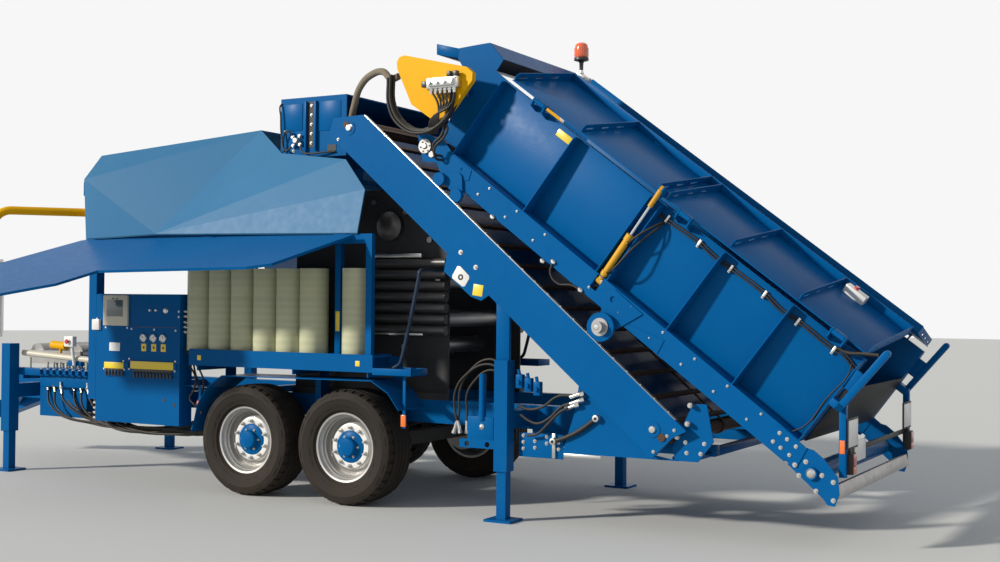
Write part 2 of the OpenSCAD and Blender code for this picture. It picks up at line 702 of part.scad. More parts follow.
module motor_guard() color("orange") in_hopper() {
    side_plate([[330, 560], [560, 190], [950, 390], [1020, 520], [420, 850], [340, 830]], guard_y[0], guard_y[1]);
    block([340, hop_in + 8, 600], [400, guard_y[0], 640]);
}

module lamp_boards() color("darkred") in_hopper() both_sides()
    block([arm_x - 20, 870, 260], [arm_x, 1090, 420]);

// Wheels

// Half of the tyre's section, from the bead to the middle of the tread: radius, place across
tyre_half = [[seat_r + 0.3, 133.4], [seat_r + 13.4, 139.4], [seat_r + 13.4, 150], [seat_r + 22, 158], [330, 173], [370, 187], [410, tyre_w / 2],
    [450, 189], [478, 176], [tyre_r - 3, 152], [tyre_r, 120]];

module tyre() rotate([-90, 0, 0]) rotate_extrude($fn = 96) polygon(concat(
    [for (p = tyre_half) p], [for (i = [len(tyre_half) - 1 : -1 : 0]) [tyre_half[i][0], -tyre_half[i][1]]]));

module rim() difference() {
    rotate([-90, 0, 0]) union() {
        rotate_extrude($fn = 96) polygon([[seat_r - 12, -149], [seat_r + 13, -149], [seat_r + 13, -140], [seat_r, -134],
            [seat_r, 134], [seat_r + 13, 140], [seat_r + 13, 149], [seat_r - 12, 149], [seat_r - 12, -20],
            [200, -62], [60, -62], [60, -76], [206, -76], [seat_r - 12, -40]]);
        translate([0, 0, -110]) cylinder(r = 105, h = 150);
        translate([0, 0, 40]) cylinder(r = 70, h = 40);
        translate([0, 0, -300]) cylinder(r = 200, h = 190);
        for (i = [0 : stud_count - 1]) rotate([0, 0, i * 360 / stud_count])
            translate([stud_pcd / 2, 0, -64]) cylinder(r = 11, h = 40);
    }
    rotate([-90, 0, 0]) translate([0, 0, -301]) cylinder(r = stub_r + run_fit, h = 362);
}

module at_wheel(front, left) translate([front * axle_gap / 2, left * wheel_y, axle_z])
    rotate([0, 0, left > 0 ? 0 : 180]) children();

module rim_fl() color("silver") at_wheel(1, 1) rim();
module rim_fr() color("silver") at_wheel(1, -1) rim();
module rim_rl() color("silver") at_wheel(-1, 1) rim();
module rim_rr() color("silver") at_wheel(-1, -1) rim();
module tyre_fl() color("#222222") at_wheel(1, 1) tyre();
module tyre_fr() color("#222222") at_wheel(1, -1) tyre();
module tyre_rl() color("#222222") at_wheel(-1, 1) tyre();
module tyre_rr() color("#222222") at_wheel(-1, -1) tyre();

module placed() translate([-mid_x, 0, 0]) children();

placed() chassis_frame();
placed() drawbar();
placed() axles();
placed() support_legs();
placed() fenders();
placed() cabinet();
placed() control_panel();
placed() film_shelf();
placed() film_rolls();
placed() hood_left();
placed() hood_right();
placed() flap_left();
placed() flap_right();
placed() hood_frame();
placed() chamber_walls();
placed() chamber_rollers();
placed() feed_box();
placed() elevator_sides();
placed() elevator_bed();
placed() slat_chain();
placed() rear_base();
placed() hydraulic_tank();
placed() gantry();
placed() satellite_rotor();
placed() film_stretchers();
placed() table_frame();
placed() wrap_table();
placed() carriage();
placed() hopper_floor();
placed() hopper_walls();
placed() hopper_tail();
placed() hopper_front();
placed() wing_left();
placed() wing_right();
placed() barrel_left();
placed() barrel_right();
placed() piston_left();
placed() piston_right();
placed() beacon();
placed() motor_guard();
placed() lamp_boards();
placed() rim_fl();
placed() rim_fr();
placed() rim_rl();
placed() rim_rr();
placed() tyre_fl();
placed() tyre_fr();
placed() tyre_rl();
placed() tyre_rr();
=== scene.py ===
# %% [markdown]
# Dressing a bale press and wrapper. The machine's pieces come from an engineering
# model that is loaded as a fixed frame. This lesson gives each of them a finish, and
# adds the small things that the frame leaves out: tread, nuts, hoses, gauges and lamps.
# The frame keeps every piece where it is, so that nothing has to be fitted afterwards.

# %% Load the frame
import json
import math

import bmesh
import bpy
from mathutils import Matrix, Vector


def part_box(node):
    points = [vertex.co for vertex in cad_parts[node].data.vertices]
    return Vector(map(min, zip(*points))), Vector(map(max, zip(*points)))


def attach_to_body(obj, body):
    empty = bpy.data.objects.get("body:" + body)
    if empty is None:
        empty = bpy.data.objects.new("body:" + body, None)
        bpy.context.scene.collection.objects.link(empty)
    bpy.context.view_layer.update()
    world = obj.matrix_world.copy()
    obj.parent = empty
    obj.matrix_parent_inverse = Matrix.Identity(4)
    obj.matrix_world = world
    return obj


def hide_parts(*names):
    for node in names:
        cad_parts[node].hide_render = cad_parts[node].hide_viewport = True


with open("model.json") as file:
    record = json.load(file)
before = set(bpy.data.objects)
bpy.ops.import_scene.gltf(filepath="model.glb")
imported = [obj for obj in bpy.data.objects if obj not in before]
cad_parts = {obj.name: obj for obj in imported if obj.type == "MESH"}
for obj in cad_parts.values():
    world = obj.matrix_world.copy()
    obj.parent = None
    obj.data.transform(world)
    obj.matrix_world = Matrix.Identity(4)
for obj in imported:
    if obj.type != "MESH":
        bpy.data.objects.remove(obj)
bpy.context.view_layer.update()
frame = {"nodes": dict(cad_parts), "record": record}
nodes = frame["nodes"]


def middle(node):
    low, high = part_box(node)
    return (low + high) / 2


axle_mid = (middle("rim_fl").x + middle("rim_rl").x) / 2
print("midway between the axles lies at x", round(axle_mid, 3))

# %% [markdown]
# The camera stands at eye height, about twelve metres off the rear left corner, level
# but for a hair of tilt. A camera's matrix is made of its right, up and backward
# directions, so three angles and a point are all that it takes.

# %% Place the camera
camera_place = Vector((axle_mid - 7.18, 10.30, 1.77))
camera_yaw = math.radians(29.36)
camera_pitch = math.radians(0.85)
camera_roll = math.radians(0.49)
camera_lens = 46.9

scene = bpy.context.scene
forward = Vector((
    math.sin(camera_yaw) * math.cos(camera_pitch),
    -math.cos(camera_yaw) * math.cos(camera_pitch),
    math.sin(camera_pitch),
))
level_right = Vector((-math.cos(camera_yaw), -math.sin(camera_yaw), 0))
level_up = level_right.cross(forward)
right = level_right * math.cos(camera_roll) + level_up * math.sin(camera_roll)
up = level_up * math.cos(camera_roll) - level_right * math.sin(camera_roll)
camera_data = bpy.data.cameras.new("camera")
camera_data.lens = camera_lens
camera_data.clip_end = 500
camera = bpy.data.objects.new("camera", camera_data)
camera.matrix_world = Matrix((right, up, -forward)).transposed().to_4x4()
camera.location = camera_place
scene.collection.objects.link(camera)
scene.camera = camera
print("the camera stands at", [round(v, 2) for v in camera_place])

# %% [markdown]
# A farm machine stands in the open, but a studio shows its paint better: one broad sun
# from the front left, as in the late afternoon, and a pale surrounding that fills the
# shadows. Camera and glossy rays see the surrounding nearly white, while the light that
# it sheds on the paint stays lower.

# %% Light the studio
sun_from = Vector((0.62, 0.72, 0.40)).normalized()
sun_power = 3.7
sun_width = math.radians(4)
fill_light = 0.44
sky_tint = (0.86, 0.92, 1.0)
backdrop_white = 0.93

sun_data = bpy.data.lights.new("sun", "SUN")
sun_data.energy = sun_power
sun_data.angle = sun_width
sun_data.color = (1.0, 0.95, 0.87)
sun = bpy.data.objects.new("sun", sun_data)
sun.rotation_euler = sun_from.to_track_quat("Z", "Y").to_euler()
scene.collection.objects.link(sun)
print("the sun stands", round(math.degrees(math.asin(sun_from.z))), "degrees high")

# %% [markdown]
# The surrounding is a world shader. Two plain backgrounds are mixed by the kind of ray
# that looks at them. Three short helpers add a node, set its inputs and wire it up, and
# serve for the paints as well.

# %% Surround the machine
def add_node(tree, kind, **values):
    made = tree.nodes.new(kind)
    for name, value in values.items():
        setattr(made, name, value)
    return made


def set_inputs(made, **values):
    for title, value in values.items():
        made.inputs[title.replace("_", " ")].default_value = value


def wire(tree, *pairs):
    for source, target in pairs:
        tree.links.new(source, target)


world = bpy.data.worlds.new("studio")
scene.world = world
world.use_nodes = True
sky = world.node_tree
sky.nodes.clear()
world_out = add_node(sky, "ShaderNodeOutputWorld")
dim = add_node(sky, "ShaderNodeBackground")
set_inputs(dim, Color=(*sky_tint, 1), Strength=fill_light)
pale = add_node(sky, "ShaderNodeBackground")
set_inputs(pale, Color=(backdrop_white, backdrop_white, backdrop_white, 1))
paths = add_node(sky, "ShaderNodeLightPath")
seen, seen_too = [add_node(sky, "ShaderNodeMath", operation="MAXIMUM") for n in range(2)]
world_mix = add_node(sky, "ShaderNodeMixShader")
wire(sky,
     (paths.outputs["Is Camera Ray"], seen.inputs[0]),
     (paths.outputs["Is Glossy Ray"], seen.inputs[1]),
     (seen.outputs[0], seen_too.inputs[0]),
     (paths.outputs["Is Transmission Ray"], seen_too.inputs[1]),
     (seen_too.outputs[0], world_mix.inputs[0]),
     (dim.outputs[0], world_mix.inputs[1]),
     (pale.outputs[0], world_mix.inputs[2]),
     (world_mix.outputs[0], world_out.inputs[0]))
scene.view_settings.view_transform = "Standard"
print("the surrounding sheds", fill_light, "on the paint")

# %% [markdown]
# Paint outdoors is never one colour. It fades a little in patches, dust settles on what
# faces up and on what is near the ground, and the sprayed coat has a faint orange peel.
# One node group works all that out from the object's own coordinates, and every finish
# places it with its own amounts.

# %% Make the node tools
def make_group(name, inputs, outputs):
    tree = bpy.data.node_groups.new(name, "ShaderNodeTree")
    for title, kind, value in inputs:
        made = tree.interface.new_socket(title, in_out="INPUT", socket_type=kind)
        if value is not None:
            made.default_value = value
    for title, kind in outputs:
        tree.interface.new_socket(title, in_out="OUTPUT", socket_type=kind)
    return tree, add_node(tree, "NodeGroupInput"), add_node(tree, "NodeGroupOutput")


def math_node(tree, operation, first, second=None, clamp=False):
    made = add_node(tree, "ShaderNodeMath", operation=operation, use_clamp=clamp)
    for place, value in enumerate((first, second)):
        if value is None:
            continue
        if isinstance(value, (int, float)):
            made.inputs[place].default_value = value
        else:
            tree.links.new(value, made.inputs[place])
    return made.outputs[0]


def noise(tree, place, scale, detail=4.0):
    made = add_node(tree, "ShaderNodeTexNoise")
    set_inputs(made, Scale=scale, Detail=detail)
    tree.links.new(place, made.inputs["Vector"])
    return made.outputs["Fac"]


def blend_colours(tree, share, first, second):
    made = add_node(tree, "ShaderNodeMix", data_type="RGBA")
    for place, value in ((0, share), (6, first), (7, second)):
        socket = made.inputs[place]
        if isinstance(value, bpy.types.NodeSocket):
            tree.links.new(value, socket)
        else:
            socket.default_value = value
    return made.outputs[2]


print("the node tools are ready")

# %% [markdown]
# Dust settles where the surface faces up and below the height that the wheels splash
# to. Broad noise fades the colour, finer noise breaks the dust up, and the finest gives
# the coat its orange peel.

# %% Make the weathering group
colour_kind = "NodeSocketColor"
number_kind = "NodeSocketFloat"
vector_kind = "NodeSocketVector"
brown_dust = (0.25, 0.19, 0.12)
splash_height = 0.75
weather, weather_in, weather_out = make_group(
    "weather",
    [("Place", vector_kind, None), ("Colour", colour_kind, None), ("Faded", colour_kind, None),
     ("Dust colour", colour_kind, (*brown_dust, 1)), ("Dust", number_kind, 0.3),
     ("Rough", number_kind, 0.3), ("Grain", number_kind, 60.0)],
    [("Colour", colour_kind), ("Roughness", number_kind), ("Height", number_kind)],
)


def plus(first, second):
    return math_node(weather, "ADD", first, second)


def times(first, second, clamp=False):
    return math_node(weather, "MULTIPLY", first, second, clamp)


def power(first, second):
    return math_node(weather, "POWER", first, second)


place_in = weather_in.outputs["Place"]
patches = noise(weather, place_in, 1.4)
specks = noise(weather, place_in, 14.0, 8.0)
fine = noise(weather, place_in, 160.0, 2.0)
facing = add_node(weather, "ShaderNodeNewGeometry")
apart = add_node(weather, "ShaderNodeSeparateXYZ")
height = add_node(weather, "ShaderNodeSeparateXYZ")
wire(weather, (facing.outputs["Normal"], apart.inputs[0]), (place_in, height.inputs[0]))
upward = times(apart.outputs["Z"], 0.8, True)
low_down = math_node(weather, "SUBTRACT", splash_height, height.outputs["Z"], clamp=True)
settled = plus(plus(upward, low_down), 0.12)
broken = times(settled, power(specks, 1.6))
dust_mask = times(times(broken, 2.2), weather_in.outputs["Dust"], True)
faded = times(power(patches, 2.0), 1.5, True)
toned = blend_colours(weather, faded, weather_in.outputs["Colour"], weather_in.outputs["Faded"])
dusted = blend_colours(weather, dust_mask, toned, weather_in.outputs["Dust colour"])
mottled = times(math_node(weather, "SUBTRACT", specks, 0.5), 0.12)
uneven = plus(plus(weather_in.outputs["Rough"], times(dust_mask, 0.55)), mottled)
peel = add_node(weather, "ShaderNodeTexNoise")
set_inputs(peel, Detail=1.0)
wire(weather,
     (place_in, peel.inputs["Vector"]),
     (weather_in.outputs["Grain"], peel.inputs["Scale"]),
     (dusted, weather_out.inputs["Colour"]),
     (uneven, weather_out.inputs["Roughness"]),
     (plus(peel.outputs["Fac"], times(fine, 0.3)), weather_out.inputs["Height"]))
print("the weathering group has", len(weather.nodes), "nodes")

# %% [markdown]
# A finish is one Principled shader fed by the group. The metal share, the clear coat
# and the shine stay plain values of the shader, since they don't change over a piece.

# %% Define what a finish is
def finish(name, colour, faded=None, rough=0.3, dust=0.3, metal=0.0, coat=0.0, peel=0.0006,
           grain=60.0, dust_colour=brown_dust, shine=0.5):
    made = bpy.data.materials.new(name)
    made.use_nodes = True
    tree = made.node_tree
    shader = tree.nodes["Principled BSDF"]
    set_inputs(shader, Metallic=metal, Coat_Weight=coat, Coat_Roughness=0.08,
               Specular_IOR_Level=shine)
    where = add_node(tree, "ShaderNodeTexCoord")
    worn = add_node(tree, "ShaderNodeGroup", node_tree=weather)
    faded = faded or tuple(min(1.0, v * 0.8 + 0.02) for v in colour)
    set_inputs(worn, Colour=(*colour, 1), Faded=(*faded, 1), Dust_colour=(*dust_colour, 1),
               Dust=dust, Rough=rough, Grain=grain)
    bump = add_node(tree, "ShaderNodeBump")
    set_inputs(bump, Strength=0.5, Distance=peel)
    wire(tree,
         (where.outputs["Object"], worn.inputs["Place"]),
         (worn.outputs["Colour"], shader.inputs["Base Color"]),
         (worn.outputs["Roughness"], shader.inputs["Roughness"]),
         (worn.outputs["Height"], bump.inputs["Height"]),
         (bump.outputs["Normal"], shader.inputs["Normal"]))
    return made


print("a finish reads", [socket.name for socket in weather_in.outputs if socket.name])

# %% [markdown]
# Most of the machine wears one glossy blue. The hoods are paler: their colour is a painted
# reflection of the sky that they lie open to. The inside of the press is painted near black
# as its shade, and what slides or rolls is bare steel. Each material slot of the record gets
# one of these finishes.

# %% Mix the paints
blue = finish("machine_blue", (0.0004, 0.088, 0.272), (0.0010, 0.105, 0.310),
              rough=0.32, dust=0.04, shine=0.05, dust_colour=(0.06, 0.15, 0.22))
# The hoods' paler blue is a painted reflection of the sky.
hood_painted_sky_blue = finish("hood_painted_sky_blue", (0.030, 0.150, 0.300), (0.040, 0.170, 0.330),
                   rough=0.42, dust=0.06, shine=0.12)
# A darker copy of the machine blue: its darkness is painted shade. Only the step rails wear it.
rail_blue_painted_shade = finish("shaded_rail_blue", (0.012, 0.040, 0.085), (0.040, 0.048, 0.075),
                   rough=0.30, dust=0.08, coat=0.04, shine=0.14)
# Near black. Inside the press it is painted shade, for the walls there are blue paint; the lamp
# boards, the plate bar and the feed strip wear it as their own dark colour.
dark = finish("press_shade_and_dark_parts", (0.012, 0.015, 0.020), rough=0.5, dust=0.3, shine=0.3)
orange = finish("guard_orange", (0.82, 0.43, 0.004), (0.76, 0.36, 0.003),
                rough=0.40, dust=0.04, shine=0.08)
yellow = finish("marker_yellow", (0.86, 0.62, 0.02), rough=0.35, dust=0.1, coat=0.2)
cylinder_gold = finish("cylinder_gold", (0.66, 0.36, 0.020), (0.52, 0.26, 0.012),
                       dust=0.10, coat=0.1, shine=0.3)
white = finish("white_paint", (0.80, 0.80, 0.78), (0.70, 0.69, 0.66), dust=0.15, coat=0.2)
print("eight paints are mixed")

# %% [markdown]
# Bare metal has its metal share near one, so that it takes its colour from what it
# mirrors. The elevator's slats are rusty, and rust is no metal, so theirs is low.

# %% Mix the bare metals
steel = finish("roller_steel", (0.42, 0.43, 0.45), (0.30, 0.28, 0.26),
               rough=0.34, dust=0.35, metal=0.9)
slats = finish("slat_rust", (0.10, 0.040, 0.018), (0.035, 0.024, 0.020),
               rough=0.6, metal=0.25, peel=0.002, shine=0.3)
zinc = finish("zinc_plate", (0.62, 0.63, 0.62), (0.50, 0.50, 0.47), dust=0.15, metal=0.95)
chrome = finish("rod_chrome", (0.82, 0.83, 0.84), rough=0.08, dust=0.0, metal=1.0, peel=0.0)
silver = finish("rim_silver", (0.50, 0.50, 0.49), (0.40, 0.39, 0.37),
                rough=0.34, dust=0.18, metal=0.55, coat=0.2)
brass = finish("brass_fitting", (0.72, 0.52, 0.22), rough=0.28, dust=0.1, metal=1.0)
print("six metals are mixed")

# %% [markdown]
# Rubber is nearly black and dull, with a coarse grain and brown dust. Plastic and glass
# lenses are smoother, and a clear coat gives them their sharp highlights.

# %% Mix the rubbers and plastics
rubber = finish("black_rubber", (0.010, 0.010, 0.010), (0.022, 0.020, 0.018),
                rough=0.5, dust=0.15, peel=0.002, grain=150, shine=0.35)
tyre_black = finish("tyre_rubber", (0.010, 0.008, 0.007), (0.020, 0.016, 0.013),
                    rough=0.7, dust=0.22, peel=0.002, grain=220,
                    dust_colour=(0.10, 0.075, 0.05), shine=0.25)
cream = finish("cream_plastic", (0.62, 0.58, 0.46), rough=0.4, dust=0.12)
red = finish("lamp_red", (0.55, 0.012, 0.01), rough=0.16, dust=0.05, coat=0.8)
black = finish("black_plastic", (0.012, 0.012, 0.013), rough=0.38, dust=0.15)
grey_screen = finish("screen_grey", (0.09, 0.12, 0.13), rough=0.12, dust=0.03, coat=0.8)
print("six rubbers and plastics are mixed")

# %% [markdown]
# The slot says what a piece is made of, so that one table dresses nearly the whole
# machine. Only three pieces look different from the rest of their slot, and are named:
# the two hoods wear a painted reflection of the sky, and the hopper's carriage is painted,
# not bare steel.

# %% Dress the frame's pieces
# The dark paint slot gets the near black that stands in for the shade inside the press.
slot_finish = {
    "blue_paint": blue, "dark_paint": dark, "panel_paint": blue, "roller_steel": steel,
    "slat_steel": slats, "arm_orange": orange, "zinc": zinc, "cylinder_yellow": cylinder_gold,
    "rod_chrome": chrome, "lamp_red": red, "rim_silver": silver, "tyre_rubber": tyre_black,
}
own_finish = {"hood_left": hood_painted_sky_blue, "hood_right": hood_painted_sky_blue, "carriage": blue}
slot_of = {entry["node"]: entry["material_slot"] for entry in frame["record"]["subparts"]}
for node, thing in nodes.items():
    thing.data.materials.clear()
    thing.data.materials.append(own_finish.get(node, slot_finish.get(slot_of[node], blue)))
print(len(nodes), "pieces of the frame have a finish")

# %% [markdown]
# The hopper and the elevator lean, so each has its own set of axes. The machine is the
# same on both sides, so most pieces are drawn once for the left and mirrored.

# %% Set up the axes
both = (1, -1)
hopper_pitch = math.radians(36.9)
elevator_pitch = math.radians(40.7)
hopper_pin = (-1.6, 2.765)
elevator_foot = (-3.65, 0.81)
as_drawn = Matrix.Identity(4)
ground = Matrix.Translation((axle_mid, 0, 0))


def leaning(start, pitch):
    at = Matrix.Translation((axle_mid + start[0], 0, start[1]))
    return at @ Matrix.Rotation(-pitch, 4, "Y")


def mirrored(axes, side):
    return axes @ Matrix.Diagonal((1, side, 1, 1))


def sides(axes):
    return [mirrored(axes, side) for side in both]


def moved(axes, x, y, z):
    return axes @ Matrix.Translation((x, y, z))


hopper = leaning(hopper_pin, hopper_pitch)
elevator = leaning(elevator_foot, elevator_pitch)
print("the hopper leans", round(math.degrees(hopper_pitch), 1), "degrees")

# %% [markdown]
# Small parts are made with a handful of tools. The first ones turn an outline, set a rod
# between two points and screw in a hexagon bolt. Each puts its shape into a growing
# mesh. The outline is drawn in the XY plane and spun about Y, because most turned parts
# of a vehicle stand out sideways.

# %% Make the turning tools
def put(bm, part, place, index=0):
    for face in part.faces:
        face.material_index = index
    bmesh.ops.transform(part, matrix=place, verts=part.verts)
    holder = bpy.data.meshes.new("holder")
    part.to_mesh(holder)
    part.free()
    bm.from_mesh(holder)
    bpy.data.meshes.remove(holder)


def lathe(bm, profile, place, steps=48, closed=True):
    part = bmesh.new()
    verts = [part.verts.new((radius, y, 0)) for radius, y in profile]
    pairs = list(zip(verts, verts[1:]))
    if closed:
        pairs.append((verts[-1], verts[0]))
    edges = [part.edges.new(pair) for pair in pairs]
    bmesh.ops.spin(part, geom=verts + edges, cent=(0, 0, 0), axis=(0, 1, 0),
                   angle=math.tau, steps=steps, use_merge=True)
    bmesh.ops.remove_doubles(part, verts=part.verts, dist=1e-6)
    put(bm, part, place)


def rod(bm, start, end, radius, place, sides=16, tip=None, index=0):
    part = bmesh.new()
    start, end = Vector(start), Vector(end)
    turn = (end - start).to_track_quat("Z", "Y").to_matrix().to_4x4()
    bmesh.ops.create_cone(part, cap_ends=True, segments=sides, radius1=radius,
                          radius2=radius if tip is None else tip, depth=(end - start).length,
                          matrix=Matrix.Translation((start + end) / 2) @ turn)
    put(bm, part, place, index)


def pin(bm, x, z, near, far, radius, place, sides=16, tip=None):
    rod(bm, (x, near, z), (x, far, z), radius, place, sides, tip)


def bolt(bm, at, place, radius=0.011):
    x, y, z = at
    sunk = y - 0.002
    pin(bm, x, z, sunk, sunk + 0.005, radius * 1.5, place, 14)
    pin(bm, x, z, sunk + 0.005, sunk + 0.013, radius, place, 6)
    pin(bm, x, z, sunk + 0.013, sunk + 0.019, radius * 0.5, place, 8, radius * 0.4)


def round_points(count, radius, x=0.0, z=0.0, start=0.0):
    for n in range(count):
        angle = math.tau * n / count + start
        yield x + radius * math.cos(angle), z + radius * math.sin(angle)


print("the turning tools are ready")

# %% [markdown]
# The finished mesh becomes one piece that rides on its body. Its normals are made to
# point outwards once more, because mirrored shapes come in inside out.

# %% Settle a piece on its body
def attach(name, data, body):
    made = bpy.data.objects.new(name, data)
    scene.collection.objects.link(made)
    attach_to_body(made, body)
    return made


def settle(name, bm, body, materials, sharp=32):
    bmesh.ops.recalc_face_normals(bm, faces=bm.faces)
    mesh = bpy.data.meshes.new(name)
    bm.to_mesh(mesh)
    bm.free()
    mesh.polygons.foreach_set("use_smooth", [True] * len(mesh.polygons))
    mesh.set_sharp_from_angle(angle=math.radians(sharp))
    for material in materials if isinstance(materials, list) else [materials]:
        mesh.materials.append(material)
    print(name, "has", len(mesh.polygons), "faces")
    return attach(name, mesh, body)


print("pieces can be settled")

# %% [markdown]
# The wheels come first, because they carry the eye. A trailer tyre has fine ribs round
# its tread and short blocks cut across the shoulders. Its half outline is drawn once
# in the plane of the axle, mirrored and spun, and every third strip of the shoulder is
# pressed in, so that blocks stay between. Outlines are written in millimetres, as on a
# drawing, and turned into metres.

# %% Draw the tyre
def mm(*points):
    return [tuple(value / 1000 for value in point) for point in points]


tyre_half = mm(
    (287.0, 130.0), (290.0, 144.0), (302.0, 149.0), (318.0, 160.0), (323.0, 169.0),
    (329.0, 169.5), (350.0, 180.5), (390.0, 190.5), (412.0, 192.2), (418.0, 194.5),
    (424.0, 192.2), (445.0, 187.0), (464.0, 180.0), (476.0, 174.0), (488.0, 156.0),
    (493.0, 138.0), (494.5, 120.0), (487.0, 118.0), (487.0, 108.0), (495.5, 106.0),
    (496.8, 56.0), (488.0, 54.0), (488.0, 45.0), (497.0, 43.0), (497.4, 8.0), (488.5, 6.0),
)
tyre_inside = mm((287, -120), (330, -145), (420, -160), (470, -135), (474, 0), (470, 135),
                 (420, 160), (330, 145), (287, 120))
tyre_line = tyre_half + [(r, -y) for r, y in reversed(tyre_half)] + tyre_inside
tyre_steps = 108
groove_depth = 0.009


def shoulder_blocks(part, steps):
    grooves = []
    for face in part.faces:
        centre = face.calc_center_median()
        reach = math.hypot(centre.x, centre.z)
        turn = int((math.atan2(centre.z, centre.x) % math.tau) / math.tau * steps)
        if 0.1205 < abs(centre.y) < 0.176 and reach > 0.470 and turn % 3 == 0:
            grooves.append(face)
    grown = bmesh.ops.extrude_face_region(part, geom=grooves)
    for vert in grown["geom"]:
        if isinstance(vert, bmesh.types.BMVert):
            reach = math.hypot(vert.co.x, vert.co.z)
            vert.co.x *= (reach - groove_depth) / reach
            vert.co.z *= (reach - groove_depth) / reach
            vert.co.y -= math.copysign(0.004, vert.co.y)
    bmesh.ops.delete(part, geom=grooves, context="FACES")


def sidewall_bars(part):
    # two raised rings of the sidewall, in short pieces
    for n in range(24):
        angle = math.tau * n / 24
        if n % 6 in (0, 3):
            continue
        for reach, out in ((0.352, 0.1815), (0.452, 0.1865)):
            start, end = [(reach * math.cos(turn), out, reach * math.sin(turn))
                          for turn in (angle, angle + 0.17)]
            rod(part, start, end, 0.0022, as_drawn, 6)


print("the tyre's outline has", len(tyre_line), "corners")

# %% [markdown]
# The rim steps down in rings to a white disc with ten nuts, and the blue hub with its
# domed cap stands out of the middle. All of it is turned about the axle, because a
# real rim is rolled and its disc is pressed and turned.

# %% Draw the rim and the hub
rim_line = mm(
    (299, 149), (299, 144), (286.5, 138), (286.5, -138), (299, -144), (299, -149),
    (278, -149), (274, -120), (260, -100), (244, -50), (242, -5), (220, 6), (202, 34),
    (190, 43), (130, 43), (130, 57), (190, 57), (208, 47), (226, 18), (245, 12), (251, 18),
    (254, 70), (262, 78), (265, 104), (274, 112), (277, 132), (283, 146),
)
drum_line = mm((0, -109), (200, -109), (206, -130), (206, -290), (200, -300), (0, -300))
stub_line = mm((0, -20), (118, -20), (118, -150), (0, -150))
disc_line = mm((140, 56.5), (140, 61), (144, 62.2), (184, 62.2), (188, 61), (188, 56.5))
hub_line = mm((0, 132), (40, 130), (70, 124), (80, 114), (83, 82), (104, 79), (116, 74),
              (136, 70), (140, 64), (140, -20), (0, -20))
print("the rim's outline has", len(rim_line), "corners")

# %% [markdown]
# The right wheels are the left ones mirrored. A wheel is five pieces, one for each
# finish: tyre, rim, disc, hub and nuts.

# %% Turn the wheels
for wheel in ("fl", "fr", "rl", "rr"):
    body = "wheel_" + wheel
    side = 1 if wheel.endswith("l") else -1
    spot = mirrored(Matrix.Translation(middle("tyre_" + wheel)), side)
    bm = bmesh.new()
    lathe(bm, tyre_line, as_drawn, tyre_steps)
    shoulder_blocks(bm, tyre_steps)
    sidewall_bars(bm)
    bmesh.ops.transform(bm, matrix=spot, verts=bm.verts)
    tyre = settle("tread_" + wheel, bm, body, tyre_black, 28)
    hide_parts("tyre_" + wheel)

    bm = bmesh.new()
    lathe(bm, rim_line, spot, 72)
    lathe(bm, drum_line, spot, 36)
    lathe(bm, stub_line, spot, 36)
    rim = settle("rim_steps_" + wheel, bm, body, silver)
    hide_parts("rim_" + wheel)

    bm = bmesh.new()
    lathe(bm, disc_line, spot, 60)
    settle("rim_disc_" + wheel, bm, body, white)

    bm = bmesh.new()
    lathe(bm, hub_line, spot, 48)
    settle("hub_" + wheel, bm, body, blue)

    bm = bmesh.new()
    for n in range(10):
        angle = math.tau * (n + 0.5) / 10
        x, z = 0.1655 * math.cos(angle), 0.1655 * math.sin(angle)
        pin(bm, x, z, 0.0618, 0.0680, 0.0185, spot, 18)
        pin(bm, x, z, 0.0680, 0.0860, 0.0150, spot, 6)
        pin(bm, x, z, 0.0860, 0.1020, 0.0085, spot, 10)
    for x, z in round_points(6, 0.094):
        bolt(bm, (x, 0.081, z), spot, 0.008)
    settle("nuts_" + wheel, bm, body, zinc)

# %% [markdown]
# Wrap film is sold in rolls 75 cm high. The film is pale green, wound in thousands of
# layers, so that a roll's side shows faint rings where the tension changed. A wave
# texture gives the rings, and the ends show a cardboard core.

# %% Mix the film
film_look = finish("film_pale", (0.42, 0.43, 0.22), (0.50, 0.49, 0.29),
                   rough=0.34, dust=0.06, coat=0.05, shine=0.15)
film_tree = film_look.node_tree
film_group = next(n for n in film_tree.nodes if n.type == "GROUP")
film_place = add_node(film_tree, "ShaderNodeTexCoord")
film_rings = add_node(film_tree, "ShaderNodeTexWave", bands_direction="Z")
set_inputs(film_rings, Scale=5.0, Distortion=1.2, Detail=3.0)
film_tree.links.new(film_place.outputs["Object"], film_rings.inputs["Vector"])
film_tone = blend_colours(film_tree, film_rings.outputs["Fac"],
                          (0.44, 0.46, 0.31, 1), (0.50, 0.51, 0.36, 1))
film_tree.links.new(film_tone, film_group.inputs["Colour"])
card = finish("roll_core", (0.40, 0.29, 0.17), rough=0.7, dust=0.2)
print("film and card are mixed")

# %% [markdown]
# Seven rolls stand on each side, on the shelf that the frame holds. The wound film and
# the core are two pieces, since they have two finishes.

